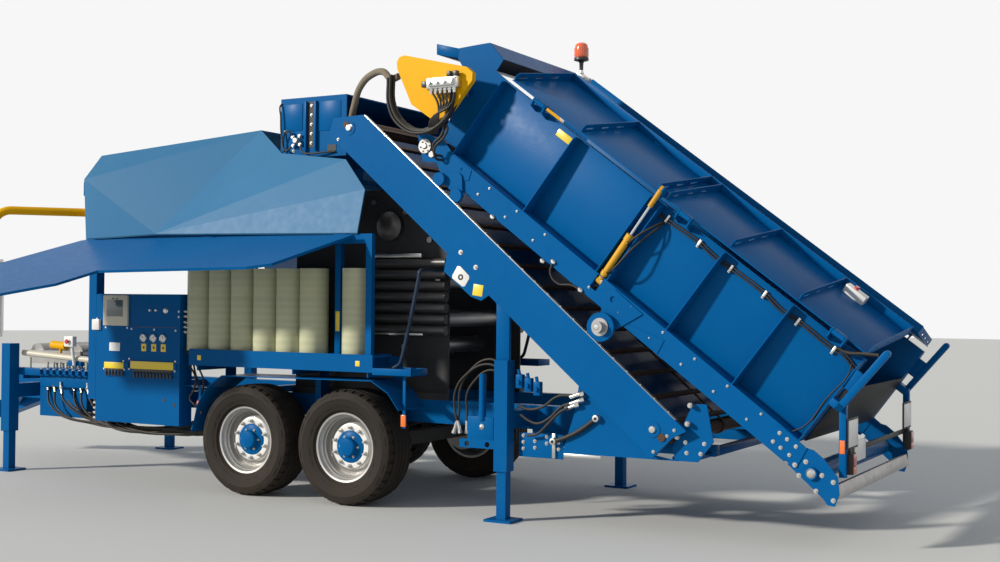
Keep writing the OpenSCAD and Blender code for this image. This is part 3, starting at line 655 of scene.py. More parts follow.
# %% Wind the film rolls
roll_places = (1.180, 0.918, 0.656, 0.394, 0.132, -0.130, -0.590)
roll_low, roll_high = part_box("film_rolls")
roll_line = mm((46, 0), (126.5, 0), (127.5, 4), (127.5, 240), (126.8, 244), (127.5, 248),
               (127.5, 505), (126.9, 508), (127.5, 512), (127.5, 746), (126.5, 750),
               (46, 750))
core_line = mm((38, -1), (46, -1), (46, 751), (38, 751))
upright = Matrix.Rotation(math.radians(90), 4, "X")
bm, bm_core = bmesh.new(), bmesh.new()
for side in both:
    for x in roll_places:
        spot = Matrix.Translation((axle_mid + x, side * 1.100, roll_low.z)) @ upright
        lathe(bm, roll_line, spot, 56)
        lathe(bm_core, core_line, spot, 24)
rolls = settle("film_wound", bm, "machine", film_look)
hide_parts("film_rolls")
settle("film_cores", bm_core, "machine", card)
print("film stands from", round(roll_low.z, 3), "to", round(roll_high.z, 3))

# %% [markdown]
# The folded hopper is the machine's largest part. The CAD holds it as plain plates, so
# it is drawn here sheet by sheet. Sheet metal needs two tools: a box with its edges
# rounded a little, since a sharp edge catches no light, and a plate cut to an outline.

# %% Make the box and the plate
def round_off(part, offset):
    bmesh.ops.bevel(part, geom=part.edges[:], offset=offset, affect="EDGES", segments=2,
                    profile=0.5, material=-1)


def box(bm, low, high, place, bevel=0.002):
    part = bmesh.new()
    low, high = Vector(low), Vector(high)
    size = Vector([abs(v) for v in high - low])
    bmesh.ops.create_cube(part, size=1, matrix=Matrix.Translation((low + high) / 2)
                          @ Matrix.Diagonal((*size, 1)))
    if bevel:
        round_off(part, min(bevel, min(size) * 0.3))
    put(bm, part, place)


def boxes(bm, place, bevel, *corners):
    for low, high in corners:
        box(bm, low, high, place, bevel)


def thicken(part, faces, depth):
    grown = bmesh.ops.extrude_face_region(part, geom=faces, use_keep_orig=True)
    lifted = [v for v in grown["geom"] if isinstance(v, bmesh.types.BMVert)]
    bmesh.ops.translate(part, verts=lifted, vec=(0, depth, 0))


def plate(bm, outline, near, far, place, bevel=0.0):
    part = bmesh.new()
    face = part.faces.new([part.verts.new((x, near, z)) for x, z in outline])
    thicken(part, [face], far - near)
    if bevel:
        round_off(part, bevel)
    put(bm, part, place)


print("boxes and plates are ready")

# %% [markdown]
# Three more tools make a sheet with holes in it, an outline drawn a little smaller, and
# a rib that stands across the sheet. The holes are real, so they show in the mesh too.

# %% Make the sheet tools
across = Matrix(((0, 1, 0, 0), (1, 0, 0, 0), (0, 0, 1, 0), (0, 0, 0, 1)))


def pierced(bm, outline, holes, near, far, place):
    part = bmesh.new()
    edges = []
    for loop in [outline] + holes:
        verts = [part.verts.new((x, near, z)) for x, z in loop]
        edges += [part.edges.new(pair) for pair in zip(verts, verts[1:] + verts[:1])]
    bmesh.ops.triangle_fill(part, use_beauty=True, edges=edges, normal=(0, 1, 0))
    thicken(part, part.faces[:], far - near)
    put(bm, part, place)


def ring(x, z, radius, steps=24):
    return list(round_points(steps, radius, x, z))


def inset(outline, depth):
    following = outline[1:] + outline[:1]
    area = sum(a[0] * b[1] - b[0] * a[1] for a, b in zip(outline, following))
    turn = 1 if area > 0 else -1
    points = []
    for before, here, after in zip(outline[-1:] + outline[:-1], outline, following):
        one = (Vector(here) - Vector(before)).normalized()
        two = (Vector(after) - Vector(here)).normalized()
        inward = (Vector((-one.y, one.x)) + Vector((-two.y, two.x))) * turn
        inward *= depth / max(0.3, inward.length_squared / 2)
        points.append((here[0] + inward.x, here[1] + inward.y))
    return points


def rib(bm, outline, x, thick, place):
    plate(bm, outline, x, x + thick, place @ across)


print("the sheet tools are ready")

# %% [markdown]
# A side wall is one 8 mm sheet, folded outwards at the top. Upright ribs stiffen it,
# and at three places two lugs hold the hinge of the wing above.

# %% Fold the hopper's walls
tail_end, nose_end = -3.495, 0.175
wall_in, wall_out = 0.960, 0.968
hinge = (1.085, 0.915)
knuckles = (-3.300, -1.850, -0.300)
rib_places = (-3.491, -2.860, -2.210, -1.590, -1.475, -0.665, 0.161)
rib_line = mm((967, 150), (1120, 150), (1079, 810), (1074, 850), (1052, 872), (967, 872))
lug_line = mm((967, 820), (1097, 860), (1105, 915), (1097, 933), (1065, 933), (1065, 876),
              (967, 876))

bm = bmesh.new()
for here in sides(hopper):
    box(bm, (tail_end, wall_in, 0.150), (nose_end, wall_out, 0.880), here, 0.001)
    box(bm, (tail_end, wall_in, 0.872), (nose_end, 1.005, 0.880), here)
    for x in rib_places:
        rib(bm, rib_line, x, 0.008, here)
    for x in knuckles:
        for lug in (x - 0.016, x + 0.104):
            rib(bm, lug_line, lug, 0.012, here)
        rod(bm, (x - 0.022, *hinge), (x + 0.122, *hinge), 0.010, here)
walls = settle("hopper_sheets", bm, "hopper", blue)
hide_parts("hopper_walls")

# %% [markdown]
# Under each wall runs a channel rail, open to the outside where the cylinder stands in
# it. Three plates are lapped on it: the shoe in front, the roller's leg in the middle
# and a joint plate. The floor between the rails lies on seven cross members.

# %% Lay the hopper's rails and floor
rail_in, rail_out = 1.112, 1.120
rail_line = mm((-3495, -45), (175, -45), (247, -2), (367, -70), (390, -55), (470, 15),
               (560, 90), (477, 135), (289, 181), (175, 150), (-3495, 150))
shoe_line = mm((282, 75), (203, 140), (-72, 137), (-99, 56), (36, -37), (166, -27))
leg_line = mm((-1600, 60), (-1692, 140), (-1989, 127), (-1900, -70), (-1840, -190),
              (-1735, -190), (-1700, -60))
lap_line = mm((-1945, -7), (-2246, 78), (-2263, -40), (-1960, -30))
notch = mm((-1564, 26), (-1500, 26), (-1500, 144), (-1564, 144))
bracket_line = mm((1040, 20), (1112, 20), (1112, 150), (1040, 150))

bm = bmesh.new()
for here in sides(hopper):
    pierced(bm, rail_line, [notch], rail_in, rail_out, here)
    boxes(bm, here, 0.001,
          ((tail_end, wall_in, 0.142), (-1.564, rail_in, 0.150)),
          ((-1.500, wall_in, 0.142), (nose_end, rail_in, 0.150)),
          ((-1.566, wall_in, 0.142), (-1.498, 1.038, 0.150)),
          ((tail_end, 1.060, -0.045), (nose_end, 1.113, -0.037)))
    pierced(bm, shoe_line, [ring(0.007, 0.095, 0.014)], 1.119, 1.126, here)
    pierced(bm, leg_line, [ring(-1.724, 0.069, 0.024)], 1.119, 1.132, here)
    plate(bm, lap_line, 1.119, 1.126, here)
    pin(bm, 0, 0, 1.085, 1.113, 0.055, here, 32)
    for x in (-1.572, -1.500):
        rib(bm, bracket_line, x, 0.008, here)
    rod(bm, (-1.566, 1.085, 0.105), (-1.498, 1.085, 0.105), 0.012, here)
box(bm, (tail_end, -0.962, 0.132), (nose_end, 0.962, 0.150), hopper, 0.001)
for n in range(7):
    x = -3.400 + 0.560 * n
    box(bm, (x, -1.113, 0.070), (x + 0.060, 1.113, 0.134), hopper)
floor_sheets = settle("hopper_rails", bm, "hopper", blue)
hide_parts("hopper_floor")

# %% [markdown]
# The hopper rolls on the elevator's upper edge. The roller's radius isn't read off the
# photo but measured: it is the distance from its pin to the elevator's edge, less a
# hair of clearance, so that it touches whatever the pins' places are.

# %% Turn the support rollers
roller_pin = (-1.787, -0.151)
running_gap = 0.0003
across_pitch, along_pitch = math.sin(hopper_pitch), math.cos(hopper_pitch)
away = Vector((
    roller_pin[0] * along_pitch - roller_pin[1] * across_pitch + hopper_pin[0],
    roller_pin[0] * across_pitch + roller_pin[1] * along_pitch + hopper_pin[1],
))
roller_radius = ((away.y - elevator_foot[1]) * math.cos(elevator_pitch)
                 - (away.x - elevator_foot[0]) * math.sin(elevator_pitch) - running_gap)
print("support roller radius", round(roller_radius, 4))
bm, bm_hub = bmesh.new(), bmesh.new()
for here in sides(hopper):
    pin(bm, *roller_pin, 1.150, 1.186, roller_radius, here, 48)
    pin(bm_hub, *roller_pin, 1.119, 1.250, 0.044, here, 32)
    pin(bm_hub, *roller_pin, 1.185, 1.196, 0.070, here, 32)
settle("support_rollers", bm, "hopper", blue)
settle("roller_hubs", bm_hub, "hopper", steel)

# %% [markdown]
# At the tail a bearing plate and a joint plate end each rail and carry the rear shaft.
# An upright arm stands above, and the posts of the lamps hang plumb, so they are drawn
# in the ground's axes. The steel beam is one bent bar, cut to its outline.

# %% Shape the hopper's tail
shaft = (-3.700, 0.020)
lamp_top = Vector((-4.740, 0, 1.0127))
bearing = mm((-3527, -43), (-3541, 13), (-3548, 133), (-3611, 159), (-3709, 157),
             (-3861, 118), (-3940, 31), (-3968, -59), (-3921, -87), (-3870, -70))
joint = mm((-3344, -26), (-3311, 47), (-3301, 125), (-3351, 148), (-3570, 140),
           (-3590, 0), (-3560, -30))
arm = mm((-3620, 1018), (-3613, 1035), (-3595, 1043), (-3577, 1035), (-3570, 1018),
         (-3538, 484), (-3588, 484))
beam = mm((-3890, 76), (-3965, 13), (-3935, -23), (-3925, -10), (-3945, 10), (-3890, 55),
          (-3870, 32), (-3860, 40))
lamp_axes = ground @ Matrix.Translation(lamp_top)

bm = bmesh.new()
for here, post in zip(sides(hopper), sides(lamp_axes)):
    plate(bm, bearing, rail_in, rail_out, here)
    plate(bm, joint, 1.1195, 1.128, here)
    pin(bm, *shaft, rail_in, 1.150, 0.045, here, 32)
    plate(bm, arm, 1.050, 1.100, here, 0.003)
    box(bm, (-3.565, 1.052, 0.640), (-3.490, 1.075, 0.800), here)
    box(bm, (-3.590, 0.966, 0.484), (-3.490, 1.100, 0.540), here, 0.003)
    box(bm, (-0.055, 1.000, -0.480), (-0.005, 1.050, 0.045), post, 0.003)
pin(bm, *shaft, -1.114, 1.114, 0.030, hopper, 24)
pin(bm, *shaft, -0.960, 0.960, 0.070, hopper, 40)
tail = settle("hopper_rear", bm, "hopper", blue)
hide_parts("hopper_tail")

bm = bmesh.new()
plate(bm, beam, -1.114, 1.114, hopper, 0.002)
settle("rear_beam", bm, "hopper", steel)

# %% [markdown]
# The hopper's front is two cheeks with a cross beam and a narrow roof between them.
# Dark rubber aprons close both ends. They are thin boxes, because they hang straight.

# %% Cut the hopper's front
front_line = mm((175, 150), (175, 880), (316, 885), (317, 996), (511, 1040), (560, 1000),
                (736, 847), (694, 772), (520, 700), (500, 600), (430, 200), (390, 150))
roof = mm((320, 992), (508, 1034), (506, 1042), (318, 1000))
cross_beam = mm((953, 756), (730, 847), (688, 777), (897, 683))

bm = bmesh.new()
for here in sides(hopper):
    plate(bm, front_line, wall_in, wall_out, here)
    box(bm, (0.400, 0.966, 0.600), (0.460, rail_in, 0.640), here)
plate(bm, roof, -0.963, 0.963, hopper)
plate(bm, cross_beam, -0.965, 0.965, hopper, 0.004)
for side in both:
    y = side * 0.600
    box(bm, (0.560, y - 0.04, 0.780), (0.720, y + 0.04, 0.800), hopper)
front = settle("front_sheets", bm, "hopper", blue)
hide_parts("hopper_front")

bm = bmesh.new()
boxes(bm, hopper, 0.001,
      ((-3.501, -0.962, 0.132), (-3.495, 0.962, 0.600)),
      ((0.317, -0.962, 0.888), (0.323, 0.962, 0.996)))
settle("aprons", bm, "hopper", rubber)

# %% [markdown]
# A yellow tray guards the valves of the hopper's drive. Its rim is the same outline
# with a smaller one cut out of it. Behind it sit the drive's round motor and its steel
# valve block.

# %% Hang the guard over the drive
guard_face = 1.252
motor = (0.418, 0.047)
guard_line = mm((1009, 480), (1014, 527), (981, 567), (410, 815), (335, 809), (299, 755),
                (318, 412), (352, 330), (409, 292), (672, 279), (969, 436))
block_line = mm((673, 576), (428, 731), (328, 602), (567, 486))

bm, bm_steel = bmesh.new(), bmesh.new()
for here in sides(hopper):
    plate(bm, guard_line, guard_face - 0.006, guard_face, here)
    pierced(bm, guard_line, [inset(guard_line, 0.006)], 1.196, 1.247, here)
    pin(bm_steel, *motor, rail_in, 1.142, 0.060, here, 40)
    pin(bm_steel, 0.329, 0.027, rail_in, 1.132, 0.026, here, 28)
    plate(bm_steel, block_line, 1.110, 1.2465, here, 0.004)
guards = settle("guard_trays", bm, "hopper", orange)
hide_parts("motor_guard")
settle("valve_blocks", bm_steel, "hopper", steel)

# %% [markdown]
# Each wing is one sheet with its free edge turned up, stiffened by slotted ribs. It
# turns about the pins of three hinges, and two ears take the cylinder's rod. The wing
# lies back a little, so its sheet has axes of its own about the hinge, while the ears
# are drawn in the hopper's.

# %% Fold the wings
wing_tilt = math.radians(-10.5)
wing_ribs = (-3.481, -2.860, -2.210, -1.590, -1.475, -0.665, 0.092)
wing_rib_line = mm((-925, 3), (-60, 3), (-60, 40), (-90, 66), (-925, 66))
slots = [mm((y - 55, 19), (y + 55, 19), (y + 55, 33), (y - 55, 33))
         for y in (-650, -410, -170)]
eye_turn = math.radians(66)
eye = (70 * math.cos(eye_turn), 70 * math.sin(eye_turn))
ear = mm((-90, 14), (-84, 44), (eye[0] - 8, eye[1] + 22), (eye[0] + 8, eye[1] - 21),
         (0, -14), (-14, 2), (-60, 8))
eye_at = mm(eye)[0]

named_sides = (("left", 1), ("right", -1))
wing_axes = {}
for name, side in named_sides:
    body = "wing_" + name
    level = moved(mirrored(hopper, side), 0, *hinge)
    here = level @ Matrix.Rotation(wing_tilt, 4, "X")
    wing_axes[name] = here
    bm = bmesh.new()
    boxes(bm, here, 0.001,
          ((-3.485, -0.932, -0.004), (0.100, -0.040, 0.004)),
          ((-3.485, -0.932, -0.004), (0.100, -0.924, 0.070)))
    for x in wing_ribs:
        pierced(bm, wing_rib_line, slots, x, x + 0.008, here @ across)
    for x in knuckles:
        rod(bm, (x, 0, 0), (x + 0.100, 0, 0), 0.020, here, 28)
        box(bm, (x, -0.060, -0.010), (x + 0.100, -0.004, 0.010), here)
    for x in (-1.558, -1.516):
        rib(bm, ear, x, 0.010, level)
        rod(bm, (x, *eye_at), (x + 0.010, *eye_at), 0.022, level, 28)
    for x in (-1.566, -1.506):
        rod(bm, (x, *eye_at), (x + 0.008, *eye_at), 0.013, level)
    wing = settle("wing_sheets_" + name, bm, body, blue)
    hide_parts(body)

# %% [markdown]
# The left wing carries a small white switch box with a red button. Both are drawn in
# that wing's axes, so they stay on its sheet.

# %% Screw the switch box to the wing
bm = bmesh.new()
box(bm, (-3.100, -0.860, 0.003), (-2.914, -0.780, 0.075), wing_axes["left"], 0.006)
settle("wing_switch", bm, "wing_left", white)
bm = bmesh.new()
rod(bm, (-2.990, -0.820, 0.074), (-2.990, -0.820, 0.096), 0.020, wing_axes["left"], 24,
    0.017)
settle("wing_button", bm, "wing_left", red)

# %% [markdown]
# A yellow cylinder pushes each wing. Its rod leans a little and ends in a yellow sleeve
# with the eye, so both halves are drawn along the line between their pins.

# %% Turn the wing cylinders
foot, top_eye = Vector((-1.532, 1.085, 0.105)), Vector((-1.532, 1.1135, 0.979))
reach = (top_eye - foot).length
along = (top_eye - foot).normalized()


def up_rod(start, end):
    return foot + along * start, foot + along * end


for name, side in named_sides:
    here = mirrored(hopper, side)
    bm = bmesh.new()
    half_pin = Vector((0.027, 0, 0))
    rod(bm, foot - half_pin, foot + half_pin, 0.026, here, 32)
    rod(bm, *up_rod(0.015, 0.400), 0.028, here, 36)
    for collar in ((0.385, 0.440), (0.060, 0.090)):
        rod(bm, *up_rod(*collar), 0.033, here, 36)
    for up in (0.080, 0.375):
        port = foot + along * up
        rod(bm, port, port + Vector((-0.018, 0.040, 0)), 0.012, here, 14)
    barrel = settle("cylinder_barrel_" + name, bm, "barrel_" + name, cylinder_gold)
    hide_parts("barrel_" + name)

    bm = bmesh.new()
    half_eye = Vector((0.012, 0, 0))
    rod(bm, *up_rod(0.240, reach - 0.100), 0.013, here, 28)
    rod(bm, *up_rod(reach - 0.170, reach - 0.015), 0.020, here, 28, index=1)
    rod(bm, top_eye - half_eye, top_eye + half_eye, 0.020, here, 28, index=1)
    piston = settle("cylinder_rod_" + name, bm, "piston_" + name, [chrome, cylinder_gold])
    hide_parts("piston_" + name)

# %% [markdown]
# The elevator's sides are folded trays, with round bearing bosses at both ends and a
# gusset below. A tray is its outline as a sheet, and the same outline with a smaller
# one cut out of it as the turned-in rim.

# %% Fold the elevator's sides
edge = 1.190
bosses = (0.203, 3.931)
side_line = mm((0, 0), (3891, 0), (4121, -214), (4079, -323), (4041, -350), (65, -350),
               (50, -120))
gusset = mm((1930, -320), (1965, -430), (2060, -468), (2391, -481), (2461, -357),
            (2461, -320))
bm = bmesh.new()
for here in sides(elevator):
    plate(bm, side_line, 1.182, edge, here)
    pierced(bm, side_line, [inset(side_line, 0.008)], 1.150, 1.183, here)
    for x in bosses:
        pin(bm, x, -0.175, 1.150, 1.196, 0.060, here, 40)
    plate(bm, gusset, 1.181, 1.189, here)
trays = settle("elevator_trays", bm, "machine", blue)
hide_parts("elevator_sides")

# %% [markdown]
# The base stands on the chassis and carries the elevator. Its upper edges have to meet
# the sloping tray, so their height is worked out from the elevator's line instead of
# being typed in.

# %% Build the base under the elevator
def below(x):
    rise = (x - elevator_foot[0]) * math.tan(elevator_pitch)
    return elevator_foot[1] + rise - 0.350 / math.cos(elevator_pitch)


panel_line = [(-3.560, 0.575), (-2.586, 0.575), (-2.697, 0.915), (-2.730, below(-2.730)),
              (-3.360, below(-3.360) + 0.01)]
tail_plate = mm((-3534, 575), (-3708, 576), (-3829, 732), (-3776, 1010), (-3666, 1005),
                (-3501, 667))
hose_plate = mm((-1998, 570), (-1672, 570), (-1672, 640), (-1998, 640))
hose_holes = [ring(-1.930, 0.603, 0.022), ring(-1.740, 0.603, 0.022)]
cap_line = [(-2.140, 1.288), (-2.020, 1.288), (-2.020, below(-2.020) + 0.02),
            (-2.140, below(-2.140) + 0.02)]

bm = bmesh.new()
for here in sides(ground):
    boxes(bm, here, 0.003,
          ((-3.700, 0.600, 0.575), (-2.100, 0.700, 0.660)),
          ((-2.750, 0.600, 0.655), (-2.100, 0.700, 0.702)))
    plate(bm, panel_line, 1.100, 1.112, here)
    plate(bm, tail_plate, 1.088, 1.101, here)
    boxes(bm, here, 0.003,
          ((-2.800, 0.699, 0.575), (-2.720, 1.101, 0.660)),
          ((-3.670, 0.699, 0.575), (-3.500, 1.089, 0.605)))
    box(bm, (-2.590, 1.094, 0.522), (-2.195, 1.106, 0.714), here)
    box(bm, (-2.400, 0.699, 0.600), (-2.340, 1.095, 0.660), here, 0.003)
    pierced(bm, hose_plate, hose_holes, 1.140, 1.160, here)
    box(bm, (-1.987, 1.140, 0.638), (-1.747, 1.160, 0.827), here)
    rod(bm, (-1.880, 1.150, 0.800), (-1.880, 1.150, 1.173), 0.029, here, 24)
    box(bm, (-1.960, 0.699, 0.715), (-1.900, 1.141, 0.775), here, 0.003)
    plate(bm, cap_line, 1.150, 1.182, here, 0.002)
box(bm, (-3.700, -0.601, 0.575), (-3.620, 0.601, 0.635), ground, 0.003)
base = settle("base_plates", bm, "machine", blue)
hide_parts("rear_base")

# %% [markdown]
# The gap beside the film is bridged by a step of pierced sheet, with a rim on
# three sides, and a post stands at the film store's corner. The holes are the sheet's
# grip, so they are cut and not painted on.

# %% Set the step beside the film
step_line = mm((-1257, -1250), (-860, -1250), (-860, -1000), (-1257, -1000))
step_holes = [mm((x, y), (x + 42, y), (x + 42, y + 40), (x, y + 40))
              for x in range(-1240, -900, 62) for y in range(-1210, -1010, 52)]
bm = bmesh.new()
for here in sides(ground):
    pierced(bm, step_line, step_holes, -0.030, -0.026, moved(here, 0, 0, 1.160) @ upright)
    boxes(bm, here, 0.001,
          ((-1.257, 1.000, 1.130), (-0.850, 1.008, 1.190)),
          ((-1.257, 1.242, 1.130), (-0.860, 1.250, 1.190)),
          ((-1.257, 1.000, 1.130), (-1.249, 1.250, 1.190)))
    box(bm, (-0.390, 1.010, 1.273), (-0.330, 1.070, 2.250), here, 0.003)
settle("film_steps", bm, "machine", blue)

# %% [markdown]
# A strip closes the gap between the hood's lower edge and the flap's hinge. It takes
# its ends and its top from the hood's own box, so it follows the frame.

# %% Close the gap above the side flaps
hood_low, hood_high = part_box("hood_left")
print("hood's lower edge", round(hood_low.z, 3),
      "from", round(hood_low.x, 2), "to", round(hood_high.x, 2))
strip_low = (hood_low.x + 0.030, 1.196, 2.318)
strip_high = (hood_high.x - 0.030, 1.204, hood_low.z + 0.040)
bm = bmesh.new()
for here in sides(as_drawn):
    box(bm, strip_low, strip_high, here, 0.001)
settle("hinge_strips", bm, "machine", blue)

# %% [markdown]
# The cabinet's door is the machine's desk. It carries a cream screen, two lights and a
# button, three gauges, two rows of levers under yellow strips, and white screws that
# hold its panels. Strips and plates stay blank. Everything is measured outwards from
# the door's face, so that one value moves it all.

# %% Put the screen on the door
door = 1.230


def knob(bm, profile, x, z, place, steps, y=0):
    lathe(bm, [(radius, y + out) for radius, out in profile], moved(place, x, 0, z), steps,
          closed=False)


def on_door(bm, corners, near, far, bevel):
    (x, z), (x2, z2) = corners
    box(bm, (x, door + near, z), (x2, door + far, z2), ground, bevel)


bm = bmesh.new()
on_door(bm, ((1.965, 1.497), (2.284, 1.788)), -0.002, 0.026, 0.010)
settle("screen_case", bm, "machine", cream)
bm = bmesh.new()
on_door(bm, ((2.022, 1.585), (2.232, 1.742)), 0.023, 0.029, 0.003)
settle("screen_glass", bm, "machine", grey_screen)

# %% [markdown]
# A lever is a shaft that leans out of its slot and a knob that hangs from it, so two
# rods are enough. The door's seams are thin dark strips, because a painted line would
# need a picture.

# %% Line up the levers
bm = bmesh.new()
on_door(bm, ((1.345, 1.486), (1.912, 1.491)), -0.001, 0.0012, 0)
on_door(bm, ((1.908, 1.486), (1.912, 1.790)), -0.001, 0.0012, 0)
for x, z in ((1.507, 0.811), (1.381, 0.770)):
    knob(bm, [(0.0, 0.003), (0.016, 0.003), (0.018, 0), (0.0, -0.004)], x, z, ground, 20, door)
for x in (2.150, 2.100):
    on_door(bm, ((x - 0.012, 1.755 - 0.006), (x + 0.012, 1.755 + 0.006)), 0.024, 0.029, 0.001)
lever_step = 0.042
for first, count, z in ((2.045, 6, 1.050), (1.425, 12, 1.046)):
    last = first + lever_step * (count - 1)
    on_door(bm, ((first - 0.018, z + 0.016), (last + 0.018, z + 0.046)), 0.001, 0.008, 0.002)
    for n in range(count):
        x = first + lever_step * n
        rod(bm, (x, door + 0.004, z + 0.030), (x - 0.010, door + 0.018, z - 0.004), 0.006,
            ground, 8)
        rod(bm, (x - 0.010, door + 0.016, z + 0.006), (x - 0.018, door + 0.018, z - 0.034),
            0.011, ground, 10, 0.009)
settle("levers", bm, "machine", black)

bm = bmesh.new()
gauges = (1.769, 1.643, 1.523)
gauge_height = 1.386
on_door(bm, ((2.018, 1.088), (2.272, 1.148)), 0.009, 0.013, 0.001)
on_door(bm, ((1.386, 1.094), (1.927, 1.166)), 0.009, 0.013, 0.001)
for x in gauges:
    on_door(bm, ((x - 0.030, 1.262), (x + 0.030, 1.333)), -0.001, 0.002, 0.001)
settle("yellow_plates", bm, "machine", yellow)

# %% [markdown]
# A gauge is a zinc rim about a white face with a black needle. The two lights and the
# button between them are turned to one outline that grows with their size.

# %% Set in the gauges
gauge_rim = [(0.0, 0.012), (0.030, 0.012), (0.032, 0.016), (0.036, 0.018), (0.040, 0.012),
             (0.041, -0.003), (0.0, -0.003)]
bm = bmesh.new()
for x in gauges:
    knob(bm, gauge_rim, x, gauge_height, ground, 28, door)
for x, z, size in ((1.693, 1.648, 0.014), (1.617, 1.649, 0.014), (1.499, 1.646, 0.026)):
    knob(bm, [(0.0, 0.016), (size * 0.7, 0.015), (size, 0.008), (size * 1.15, -0.002),
              (0.0, -0.002)], x, z, ground, 20, door)
settle("gauge_rims", bm, "machine", zinc)

bm = bmesh.new()
for x in gauges:
    knob(bm, [(0.0, 0.0135), (0.029, 0.0135), (0.029, 0.012)], x, gauge_height, ground, 24,
         door)
on_door(bm, ((2.079, 1.255), (2.218, 1.335)), -0.001, 0.0015, 0.0005)
box(bm, (2.335, 1.190, 1.452), (2.432, door + 0.026, 1.556), ground, 0.006)
settle("white_plates", bm, "machine", white)

bm = bmesh.new()
for x, turned in zip(gauges, (0.6, -0.7, -0.2)):
    tip = (x + 0.023 * math.sin(turned), door + 0.0155,
           gauge_height + 0.023 * math.cos(turned))
    rod(bm, (x, door + 0.0150, gauge_height), tip, 0.0018, ground, 6)
for x in gauges:
    on_door(bm, ((x - 0.010, 1.286), (x + 0.010, 1.310)), 0.0015, 0.0025, 0)
settle("gauge_needles", bm, "machine", black)

# %% [markdown]
# White screw heads sit where the photograph shows them, and couplings and two sight
# glasses in their holders stand on the cabinet's narrow sides.

# %% Screw on the cabinet's fittings
door_screws = mm(
    (2268, 1478), (1985, 1478), (1930, 1470), (1372, 1462), (1640, 1468), (2030, 1162),
    (2284, 1082), (2020, 1080), (1955, 1186), (1955, 1088), (1372, 1176), (1378, 1086),
    (1335, 1640), (1335, 1590), (2385, 1560),
)
screw_head = [(0.0, 0.007), (0.005, 0.006), (0.010, 0.003), (0.010, -0.002), (0.0, -0.002)]
glasses = ((1.290, 1.520), (1.035, 1.172))

bm = bmesh.new()
for x, z in door_screws:
    knob(bm, screw_head, x, z, ground, 12, door)
settle("door_screws", bm, "machine", white)

bm = bmesh.new()
for z in (1.455, 1.500, 1.545, 1.600, 1.645):
    rod(bm, (1.316, 1.185, z), (1.262, 1.185, z - 0.008), 0.011, ground, 10)
    rod(bm, (1.300, 1.185, z - 0.002), (1.284, 1.185, z - 0.004), 0.017, ground, 6)
for z in (0.605, 0.655, 0.700, 0.750):
    rod(bm, (2.398, 1.195, z), (2.450, 1.195, z - 0.004), 0.013, ground, 10)
    rod(bm, (2.412, 1.195, z), (2.428, 1.195, z - 0.002), 0.019, ground, 6)
settle("cabinet_fittings", bm, "machine", zinc)

bm, bm_tube = bmesh.new(), bmesh.new()
for low, high in glasses:
    for z in (low - 0.02, high):
        rod(bm, (2.398, 1.150, z), (2.444, 1.150, z), 0.014, ground, 8)
        box(bm, (2.424, 1.134, z - 0.012), (2.456, 1.166, z + 0.022), ground, 0.003)
    rod(bm_tube, (2.440, 1.150, low), (2.440, 1.150, high), 0.010, ground, 14)
settle("sight_holders", bm, "machine", zinc)
settle("sight_tubes", bm_tube, "machine", white)

# %% [markdown]
# The lower front is a nest of hoses. They leave the valves in front of the cabinet,
# each behind a brass or silver fitting, hang in loops and run back under the cabinet.
# A hose is a curve with a round section. No two hang alike, so a fixed row of uneven
# shares moves each one a little.

# %% Hang the front hoses
def hoses(name, runs, radius, place=ground, body="machine", material=rubber):
    data = bpy.data.curves.new(name, "CURVE")
    data.dimensions = "3D"
    data.bevel_depth = radius
    data.bevel_resolution = 3
    data.resolution_u = 6
    data.use_fill_caps = True
    for run in runs:
        line = data.splines.new("BEZIER")
        line.bezier_points.add(len(run) - 1)
        for point, at in zip(line.bezier_points, run):
            point.co = place @ Vector(at)
            point.handle_left_type = point.handle_right_type = "AUTO"
    data.materials.append(material)
    print(name, "has", len(runs), "runs")
    return attach(name, data, body)


uneven_shares = [(0.37 * n) % 1.0 for n in range(1, 28)]
front_runs = []
ends_brass, ends_silver = [], []
for n in range(18):
    shift = uneven_shares[n]
    drop = 0.10 + 0.10 * uneven_shares[n + 4]
    x, y, z = start = (3.30 - 0.045 * n, 0.80 + 0.30 * uneven_shares[n + 9],
                       0.900 - 0.10 * shift)
    front_runs.append([
        start,
        (x - 0.07, y + 0.03, z - drop),
        (2.62 - 0.02 * n, 0.98 + 0.09 * shift, 0.500 + 0.10 * uneven_shares[n + 2]),
        (2.20 - 0.03 * n, 1.02 + 0.08 * shift, 0.470 + 0.06 * uneven_shares[n + 6]),
        (1.70 - 0.04 * n, 0.98, 0.500 + 0.05 * shift),
        (1.35 - 0.03 * n, 0.86, 0.62),
    ])
    (ends_brass if n % 2 else ends_silver).append(start)
hoses("front_hoses", front_runs, 0.011)

for name, ends, metal in (("brass_ends", ends_brass, brass),
                          ("silver_ends", ends_silver, zinc)):
    bm = bmesh.new()
    for x, y, z in ends:
        rod(bm, (x + 0.012, y - 0.005, z + 0.030), (x - 0.024, y + 0.010, z - 0.040),
            0.016, ground, 12)
        rod(bm, (x + 0.010, y - 0.004, z + 0.026), (x + 0.002, y, z + 0.004), 0.022,
            ground, 6)
        rod(bm, (x + 0.016, y - 0.005, z + 0.03), (x + 0.020, y - 0.005, z + 0.075),
            0.012, ground, 10)
    settle(name, bm, "machine", metal)

# %% [markdown]
# The hoses hang from a long valve block of nine slices on the chassis. Above it runs a
# cream tube, held by two posts, with a short orange roller.

# %% Bolt the valve block to the chassis
bm = bmesh.new()
box(bm, (2.50, 0.700, 0.860), (3.36, 1.060, 0.985), ground, 0.010)
for n in range(9):
    x = 2.54 + 0.090 * n
    box(bm, (x, 0.740, 0.975), (x + 0.070, 1.100, 1.050), ground, 0.008)
    pin(bm, x + 0.035, 1.012, 1.095, 1.135, 0.022, ground, 12)
settle("front_valves", bm, "machine", blue)

